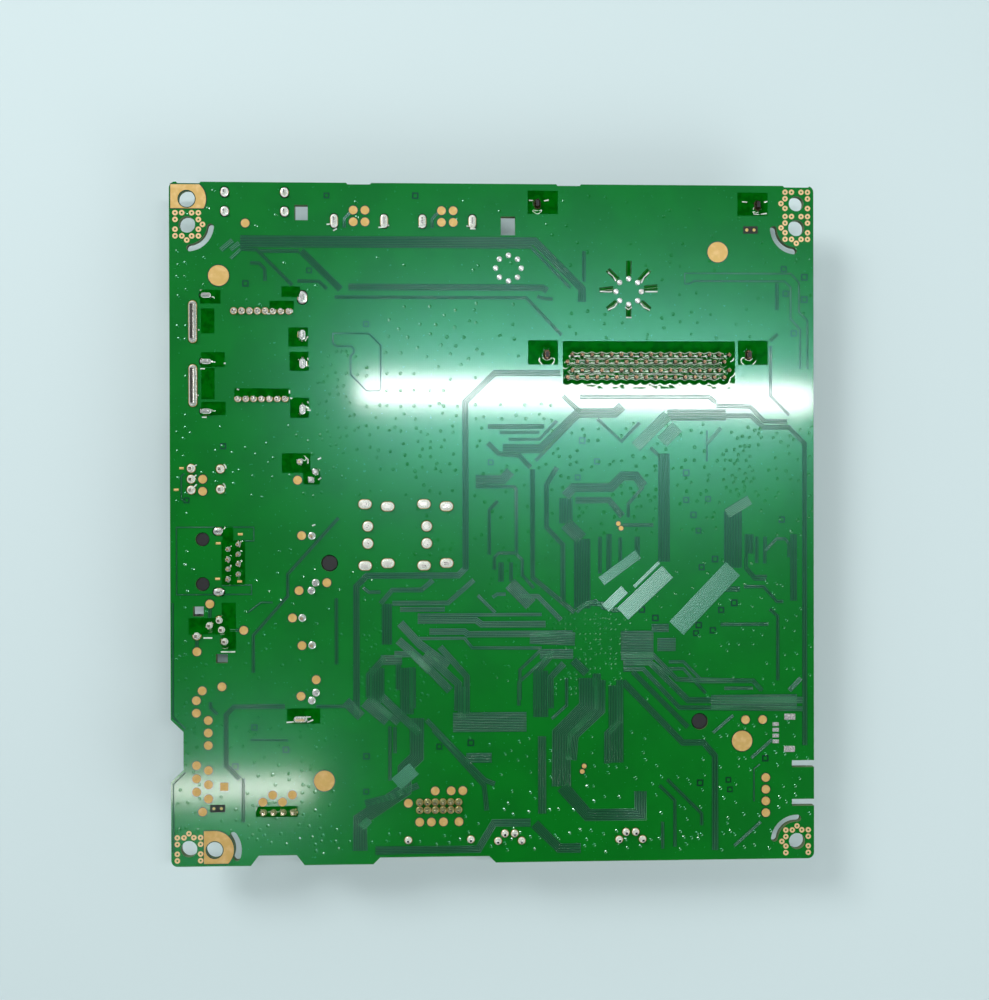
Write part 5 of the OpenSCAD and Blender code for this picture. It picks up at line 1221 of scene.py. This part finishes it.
@dataclass
class FluxFilm:
    """The glossy film in the soldering frame's windows, drawn up round each joint.

    Attributes:
        step: size of the film's mesh, in millimetres.
        rise: how far it climbs at a joint.
        reach: how far from a joint it starts to climb.
        ripple: height of its ripples.
        scale: scale of its ripples, per metre.
        lift: height of the sheet over the face.
        least: least height over the face at which the frame's film counts as there.
        seed: seed of its ripples.
    """

    step: float = 0.3
    rise: float = 0.16
    reach: float = 0.55
    ripple: float = 0.03
    scale: float = 700.0
    lift: float = 0.03
    least: float = 0.01
    seed: float = 3.0

    def recipe(self) -> Recipe:
        """Builds the nodes that raise a flat sheet towards the solder."""
        r = Recipe("drawn-up film")
        rise, reach = r.given("Rise", self.rise * MM), r.given("Reach", self.reach * MM)
        target, seed = r.given("Solder", frame["nodes"]["card_solder"]), r.given("Seed", self.seed)
        found = r.node("GeometryNodeObjectInfo", {"transform_space": "RELATIVE"}, {0: target})
        solder = found.out("Geometry")
        near = r.node("GeometryNodeProximity", {"target_element": "FACES"}, {0: solder}).out("Distance")
        climb = r.math("EXPONENT", 0.0 - (near / reach) * (near / reach))
        at = r.node("GeometryNodeInputPosition")
        wave = r.node("ShaderNodeTexNoise", {"noise_dimensions": "4D"},
                      {"Vector": at, "W": seed, "Scale": self.scale, "Detail": 1.0})
        lift = r.join(0.0, 0.0, rise * climb + (wave - 0.5) * (self.ripple * MM))
        bent = r.node("GeometryNodeSetPosition", None, {"Geometry": r.shape, "Offset": lift})
        smooth = r.node("GeometryNodeSetShadeSmooth", None, {"Geometry": bent})
        r.close(smooth, Finishes.FILM.material)
        return r

    def sheet(self, low: Vector, high: Vector, surface: Surface) -> bpy.types.Mesh:
        """Makes a flat sheet of small squares over one window.

        Args:
            low: lowest corner, in millimetres.
            high: highest corner.
            surface: tells where the face is left bare.

        Returns:
            The sheet.
        """
        nx, ny = (max(2, round((high[i] - low[i]) / self.step)) for i in (0, 1))
        xs = [low.x + (high.x - low.x) * i / nx for i in range(nx + 1)]
        ys = [low.y + (high.y - low.y) * j / ny for j in range(ny + 1)]
        cells = [(i, j) for j in range(ny) for i in range(nx)
                 if surface.top((xs[i] + xs[i + 1]) / 2, (ys[j] + ys[j + 1]) / 2) > FACE + self.least]
        corners = [i + j * (nx + 1) for i, j in cells]
        return mesh_of([(x, y, FACE + self.lift) for y in ys for x in xs],
                       faces=[(k, k + 1, k + nx + 2, k + nx + 1) for k in corners])

    def build(self, surface: Surface) -> None:
        """Makes one film for each window of the frame's own film node.

        Args:
            surface: tells where the film lies.
        """
        names = ("card_solder", "socket_solder", "tuner_solder", "lan_solder", "jack_solder", "ground_solder",
                 "header_solder")
        bodies = {n: islands(n) for n in names}
        recipe = self.recipe()
        films = []
        for k, (low, high) in enumerate(islands("flux_film")):
            middle = (low + high) / 2
            reach = {n: min(((a + b) / 2 - middle).length for a, b in found) for n, found in bodies.items()}
            near = frame["nodes"][min(reach, key=reach.get)]
            films.append(grow(f"film_{k}", recipe, self.sheet(low, high, surface), Solder=near,
                              Seed=self.seed + k))
        fit(joined("flux_films", films), Finishes.FILM, "flux_film")


@dataclass
class FluxMarks:
    """Thick rays of film about the star of vias, and painted highlights: near-white beads and webs where flux
    has run, coloured to stand in for the lamps' glints on it.

    Attributes:
        rays: the rays, each x and y in turn, in millimetres.
        glint_beads: the beads of painted highlight.
        row: least number of joints in a row that has webs of painted highlight.
        reach: greatest step between two joints that a web spans.
        near: how far from a row's middle its first web swings out at a joint.
        between: how far from it that web lies between two joints.
        apart: distance from the first web to the second, on the row's other side.
        breaks: turn and threshold of the wave that breaks the second web.
    """

    rays: tuple[tuple[float, ...], ...] = (
        (38.7, 60.8, 42.2, 61.1), (37.5, 62.7, 40, 65.5), (34.7, 63.9, 34.8, 67.8),
        (31.9, 62.9, 29.3, 65.5), (30.7, 60.6, 27.2, 60.2), (31.6, 57.2, 29.2, 55.3),
        (34.7, 56.2, 34.7, 53.4), (37.9, 57.3, 40.2, 55.3))
    glint_beads: tuple[tuple[float, ...], ...] = (
        (27.2, 59.9, 29.5, 59.8, 30.4, 59.9), (39, 59.9, 42.2, 59.9), (29.4, 64.8, 30.6, 63.9, 31.4, 62.6),
        (40, 64.8, 38.7, 63.6, 38, 62.1), (31.7, 56.8, 31, 55.9, 29.3, 55.1),
        (37.8, 56.8, 38.6, 55.9, 40.2, 55.1), (34, 53.2, 35.4, 53.2), (33.8, 55.9, 34.6, 55.2, 35.5, 55.9),
        (64.3, 83.3, 65.6, 83.2), (70, 83.2, 70.9, 83.4), (67.3, 80.1, 68.3, 80.1),
        (69.2, 80.1, 70.7, 80.3), (67.2, 81.2, 67.5, 82), (69.1, 81.3, 69.3, 82), (8.9, 83.3, 10, 83.2),
        (12.8, 83.2, 14, 83.4), (-43, 76.8, -42.1, 76.9), (-41.3, 75.2, -40.4, 75.8),
        (-27.9, 76.9, -27, 76.6), (-29.8, 76.1, -28.3, 76.2), (-19.5, 76.3, -17.8, 76.7),
        (-7.2, 76.6, -6.6, 76.5), (-6.3, 75.9, -4.8, 75.9), (-72.3, 58.2, -72, 58.2),
        (-75.7, 49.7, -75.4, 49.7), (-58.2, 53.9, -57.4, 53.9), (-51.8, 54.9, -51.8, 54.2),
        (-47.9, 48.1, -48.5, 46.9), (-69.2, 41.2, -68.8, 41.2), (-75.2, 39.8, -74, 39.8),
        (-47.9, 42.6, -47.8, 42), (-76.3, 37.5, -76.2, 37.2), (-76.4, 35.6, -76.2, 35),
        (-75.9, 33, -75.7, 33), (-65.9, 34.6, -65.4, 34.4), (-52.6, 34.3, -52.6, 33.5),
        (-48, 31.5, -47.8, 31), (-48.1, 29.2, -47.2, 29.2), (-74.8, 27.4, -73.6, 27.4),
        (-77, 14.8, -76.2, 15.3), (-77, 12, -76.3, 12.7), (-77, 9.5, -76.2, 10.3),
        (-69.3, 15.4, -68.9, 14.9, -68.8, 14.3), (-69.5, 10.5, -69.1, 10, -69, 9.3),
        (-48.5, 17.1, -47.9, 16.6, -48, 15.5), (-45.4, 16.6, -44.6, 17), (-45.3, 11.4, -44.6, 11.9),
        (-46.9, -0.4, -46.1, -0.1), (-74.6, -29, -72.4, -29), (-70.2, -32.6, -66.6, -32.6),
        (-53.6, -50.8, -51.6, -50.6, -50.8, -50.2), (-51, -49.5, -47.4, -49.4), (-48.4, -50.8, -46.8, -50.2))

    row: int = 10
    reach: float = 3
    near: float = 0.78
    between: float = 0.3
    apart: float = 1.15
    breaks: Point = (2.1, -0.4)

    def glint_webs(self) -> list[Bundle]:
        """Draws scallops of painted highlight along both sides of each row of the card header's joints, for
        the glints off the flux between them.

        Returns:
            A web round the joints and a broken one across the row, for each row.
        """
        middles = [(low + high) / 2 for low, high in islands("card_solder")]
        rows: dict[float, list[Vector]] = {}
        for middle in sorted(middles, key=lambda m: (round(m.y, 1), m.x)):
            rows.setdefault(round(middle.y, 1), []).append(middle)
        found = []
        turn, least = self.breaks
        for k, row in enumerate(r for r in rows.values() if len(r) >= self.row):
            side = 1 if k % 2 else -1
            path = [p for a, b in zip(row, row[1:]) if b.x - a.x < self.reach
                    for p in ((a.x, a.y + side * self.near), ((a.x + b.x) / 2, a.y + side * self.between))]
            second = [(x, y - side * self.apart) for x, y in path if math.sin(x * turn + k) > least]
            found += [Bundle(1, tuple(path)), Bundle(1, tuple(second))]
        return found

    def build(self) -> None:
        """Sweeps the rays, and the beads and webs of painted highlight."""
        ray = Sweep(half=0.72, crest=0.4, height=0.2)
        glint_bead = Sweep(half=0.2, crest=0.45, height=0.9)
        glint_web = Sweep(half=0.13, crest=0.4, height=1.2, lift=0.03)
        ray.build("star_rays", Finishes.FILM, Bundle.singles(self.rays))
        # Painted highlight: the beads and webs take a near-white finish that stands in for the lamps' glints
        # on the flux.
        glint_bead.build("flux_beads", Finishes.GLINT_PAINT, Bundle.singles(self.glint_beads))
        glint_web.build("flux_webs", Finishes.GLINT_PAINT, self.glint_webs())


@dataclass
class BoardFace:
    """The board with all that is printed, etched or filled on it.

    Attributes:
        tracks: the lines under the mask.
        vias: the filled holes.
        film: the glossy film in the windows.
        marks: the other marks of flux: its rays, and painted highlights on it.
        squares: middles of the square marks, in millimetres.
        dots: middles of the dots on the black patches.
        dashes: the short bare dashes.
    """

    tracks: Tracks = field(default_factory=Tracks)
    vias: Vias = field(default_factory=Vias)
    film: FluxFilm = field(default_factory=FluxFilm)
    marks: FluxMarks = field(default_factory=FluxMarks)
    squares: tuple[Point, ...] = (
        (22.6, 21.4), (26.4, 16), (21.4, 11.9), (-1.1, 15.8), (49.6, 13), (55.3, 6.2), (49.6, 6),
        (51.5, 2.1), (52.8, -2), (62.1, -20.8), (58.7, -22.6), (56.5, -27.9), (52.8, -26.5), (52.1, -28.6),
        (41.5, -24.6), (38, -22.4), (57.1, -9.4), (53.6, -11.5), (-33.2, -59.7), (-33.3, -68.8),
        (-14.5, -57.4), (-6.4, -56.5), (60.9, -69.3), (53.1, -67.5), (70.2, -61.3), (60.5, -66.8),
        (75.2, 65.9), (80.6, 63.8), (75.7, 59.5), (80.6, 58), (77.8, 49.2), (-43, 84.2), (-20.3, 84.3),
        (-69.5, 20), (-78.8, 6.2), (-33, 51.3), (74.6, 0.8), (-30.6, 35.2), (-63.7, 61.6), (-47.5, 65),
        (-53.8, -57.8), (-66.7, -62), (-61.8, -52))
    dots: tuple[Point, ...] = ((65.55, 76), (67.45, 76), (-72.15, -72.7), (-70.25, -72.7))
    dashes: tuple[tuple[float, ...], ...] = (
        (-80.6, 14.4, -79.5, 14.4), (-82, 8.9, -80.8, 8.9), (-65.8, -2.5, -64.6, -2.5),
        (-71.4, -4.8, -70.2, -4.8), (-71.6, -13.9, -70.4, -13.9), (-66, -14.6, -64.8, -14.6))

    def build(self) -> None:
        """Dresses the board and its face."""
        dress("board", Finishes.MASK)
        for node in ("ground_pads", "test_pads"):
            dress(node, Finishes.GOLD)
        dress("screw_vias", Finishes.VIA_GOLD)
        dress("jumper_patches", Finishes.INK)
        self.tracks.build()
        added = ("masked_lines", "masked_ridges", "bare_gaps")
        surface = Surface(*(bpy.data.objects[n] for n in added))
        self.film.build(Surface())
        Studs("filled_vias", Finishes.MASK).build(self.vias.places(surface))
        Studs("square_marks", Finishes.GAP, sides=4, top=0.66, foot=1.15, height=0.001, filled=False,
              uneven=0.1).build(list(self.squares))
        Studs("jumper_dots", Finishes.GOLD, sides=16, top=0.34, foot=0.42, height=0.12,
              uneven=0.15).build(list(self.dots))
        dash = Sweep(half=0.3, crest=0.9, height=0.2)
        dash.build("gold_dashes", Finishes.GOLD, Bundle.singles(self.dashes))
        self.marks.build()
        pads = ("test_pads", "ground_pads")
        joints = ("tuner_solder", "lan_solder", "socket_solder", "jack_solder", "coil_solder",
                  "header_solder")
        Rim("pad_gaps", pads, 0.24, 0.012, Finishes.GAP).build()
        Rim("joint_gaps", joints, 0.3, 0.034, Finishes.GAP).build()
        Rim("joint_rims", joints, 0.15, 0.05, Finishes.RIM).build()


# ---------------------------------------------------------------- parts on the board


@dataclass
class Assembly:
    """Pieces of the frame that need only their finishes.

    Attributes:
        finishes: each finish and the nodes that have it.
    """

    finishes: dict[Finishes, str]

    def build(self) -> None:
        """Dresses each piece."""
        for finish, nodes in self.finishes.items():
            for node in nodes.split():
                dress(node, finish)


@dataclass
class Joints(Assembly):
    """All solder joints, from pale and tinned to dark with flux."""

    finishes: dict[Finishes, str] = field(default_factory=lambda: {
        Finishes.TINNED: "coil_solder socket_solder jack_solder",
        Finishes.SOLDER: "tuner_solder lan_solder ground_solder",
        Finishes.DULLED: "header_solder",
        Finishes.BRONZED: "card_solder"})


@dataclass
class Parts(Assembly):
    """The sockets, chips and posts."""

    finishes: dict[Finishes, str] = field(default_factory=lambda: {
        Finishes.BLACK: "card_guide card_header lan_housing video_tongue headphone_jack audio_jack av_jack "
                        "support_posts",
        Finishes.IVORY: "tuner_1_insulator tuner_2_insulator usb_1_tongue usb_2_tongue speaker_header "
                        "power_header ribbon_housings",
        Finishes.SHELL: "card_cover lan_shield usb_1_shell usb_2_shell video_shell ribbon_shells",
        Finishes.TIN: "tuner_1_pins tuner_2_pins jack_terminals header_pins",
        Finishes.TUNER: "tuner_1_can tuner_2_can",
        Finishes.NICKEL: "tuner_1_socket tuner_2_socket",
        Finishes.CONTACT: "lan_contacts usb_contacts",
        Finishes.EPOXY: "lan_transformer processor memory_chips amplifier",
        Finishes.FERRITE: "coil_cores chip_coils",
        Finishes.BRONZED: "card_pins",
        Finishes.WIRE: "coil_windings",
        Finishes.ANODISED: "heat_sink",
        Finishes.GAP_PAD: "thermal_pad",
        Finishes.CAN: "capacitors",
        Finishes.BRONZE: "ground_clips",
        Finishes.CERAMIC: "chip_parts"})


# ---------------------------------------------------------------- studio


@dataclass(frozen=True)
class Lamp:
    """One area lamp.

    Attributes:
        name: what it is called.
        at: its place, in metres.
        size: its two sides, in metres.
        power: its power.
        aim: the point it faces.
        tint: its colour.
        spin: its turn about the upright, in degrees.
    """

    name: str
    at: tuple[float, float, float]
    size: Point
    power: float
    aim: tuple[float, float, float] = (0.0, 0.0, 0.015)
    tint: Colour = (1.0, 1.0, 1.0)
    spin: float = 0.0

    def build(self) -> None:
        """Hangs the lamp."""
        data = bpy.data.lights.new(self.name, "AREA")
        data.shape, data.size, data.size_y = "RECTANGLE", self.size[0], self.size[1]
        data.energy, data.color = self.power, self.tint
        lamp = bpy.data.objects.new(self.name, data)
        way = Vector(self.at) - Vector(self.aim)
        upright = Vector((way.x, way.y, 0)).length < 1e-3
        turn = Quaternion() if upright else way.to_track_quat("Z", "Y")
        turn = Quaternion((0, 0, 1), math.radians(self.spin)) @ turn
        lamp.matrix_world = Matrix.Translation(self.at) @ turn.to_matrix().to_4x4()
        bpy.context.scene.collection.objects.link(lamp)


@dataclass
class Studio:
    """Floor, light and camera.

    Attributes:
        floor: colour of the floor.
        reach: radius of the floor, in millimetres.
        eye: the camera's place, in millimetres.
        aim: what it looks at.
        up: which way is up in its picture.
        lens: focal length for a 36 mm sensor.
        stops: colour of the surround from the horizon up to the zenith.
        lamps: two long lamps that the board mirrors, and two soft ones beside it.
    """

    floor: Colour = srgb(210, 227, 229)
    reach: float = 3000
    eye: tuple[float, float, float] = (-7.69, 7.04, 265.1)
    aim: tuple[float, float, float] = (-0.14, 6.09, 15.1)
    up: tuple[float, float, float] = (0.00258, 0.99999, -0.00372)
    lens: float = 34.93
    stops: tuple[tuple[float, Colour], ...] = (
        (0.0, (0.84, 0.93, 0.95)), (0.4, (0.84, 0.93, 0.95)), (0.64, (0.08, 0.09, 0.09)),
        (0.86, (0.008, 0.01, 0.01)))
    lamps: tuple[Lamp, ...] = (
        Lamp("strip_far", (0.10, 0.096, 0.615), (0.40, 0.022), 1.3, aim=(0.10, 0.096, 0.0), spin=-1.1),
        Lamp("strip_near", (-0.209, -0.2465, 0.615), (0.13, 0.018), 0.16, aim=(-0.209, -0.2465, 0.0),
             tint=(1.0, 0.96, 0.93)),
        Lamp("key", (-0.7, 0.7, 0.75), (0.4, 0.4), 7.8),
        Lamp("fill", (0.8, -0.8, 0.7), (0.6, 0.6), 4.3))

    def camera(self) -> None:
        """Makes the camera over the solder side."""
        data = bpy.data.cameras.new("camera")
        data.lens, data.sensor_width, data.sensor_fit = self.lens, 36.0, "AUTO"
        data.clip_start, data.clip_end = 0.01, 20.0
        eye, aim = Vector(self.eye) * MM, Vector(self.aim) * MM
        back = (eye - aim).normalized()
        right = Vector(self.up).cross(back).normalized()
        turn = Matrix((right, back.cross(right), back)).transposed().to_4x4()
        view = bpy.data.objects.new("camera", data)
        view.matrix_world = Matrix.Translation(eye) @ turn
        bpy.context.scene.collection.objects.link(view)
        bpy.context.scene.camera = view

    def sky(self) -> None:
        """Makes a plain surround, pale at the horizon and dim overhead."""
        world = bpy.data.worlds.new("surround")
        bpy.context.scene.world = world
        world.use_nodes = True
        world.node_tree.nodes.clear()
        g = Graph(world.node_tree)
        height = g.axes(g.node("ShaderNodeTexCoord").out("Generated"))[2]
        pale = g.node("ShaderNodeValToRGB", {"stops": self.stops}, {0: height})
        back = g.node("ShaderNodeBackground", None, {"Color": pale, "Strength": 1.0})
        g.node("ShaderNodeOutputWorld", None, {"Surface": back})

    def ground(self) -> None:
        """Lays the floor that the board lies on."""
        material = bpy.data.materials.new("floor")
        material.use_nodes = True
        material.node_tree.nodes.clear()
        g = Graph(material.node_tree)
        shader = g.node("ShaderNodeBsdfPrincipled", None,
                        {"Base Color": (*self.floor, 1.0), "Roughness": 0.7})
        g.node("ShaderNodeOutputMaterial", None, {"Surface": shader})
        turns = [a * math.tau / 64 for a in range(64)]
        ring = [(self.reach * math.cos(a), self.reach * math.sin(a), 0.0) for a in turns]
        floor = place("floor", mesh_of(ring, faces=[tuple(range(len(ring)))]))
        floor.data.materials.append(material)

    def build(self) -> None:
        """Sets the camera, the floor, the surround and the lamps."""
        bpy.context.scene.view_settings.view_transform = "Standard"
        self.camera()
        self.ground()
        self.sky()
        for lamp in self.lamps:
            lamp.build()


def main() -> None:
    """Builds the studio and dresses the board, sub-assembly by sub-assembly."""
    logging.basicConfig(level=logging.INFO, format="%(name)s: %(message)s", stream=sys.stdout)
    for assembly in (Studio(), BoardFace(), Joints(), Parts()):
        assembly.build()
        LOG.info("built %s", type(assembly).__name__)


if __name__ == "__main__":
    main()
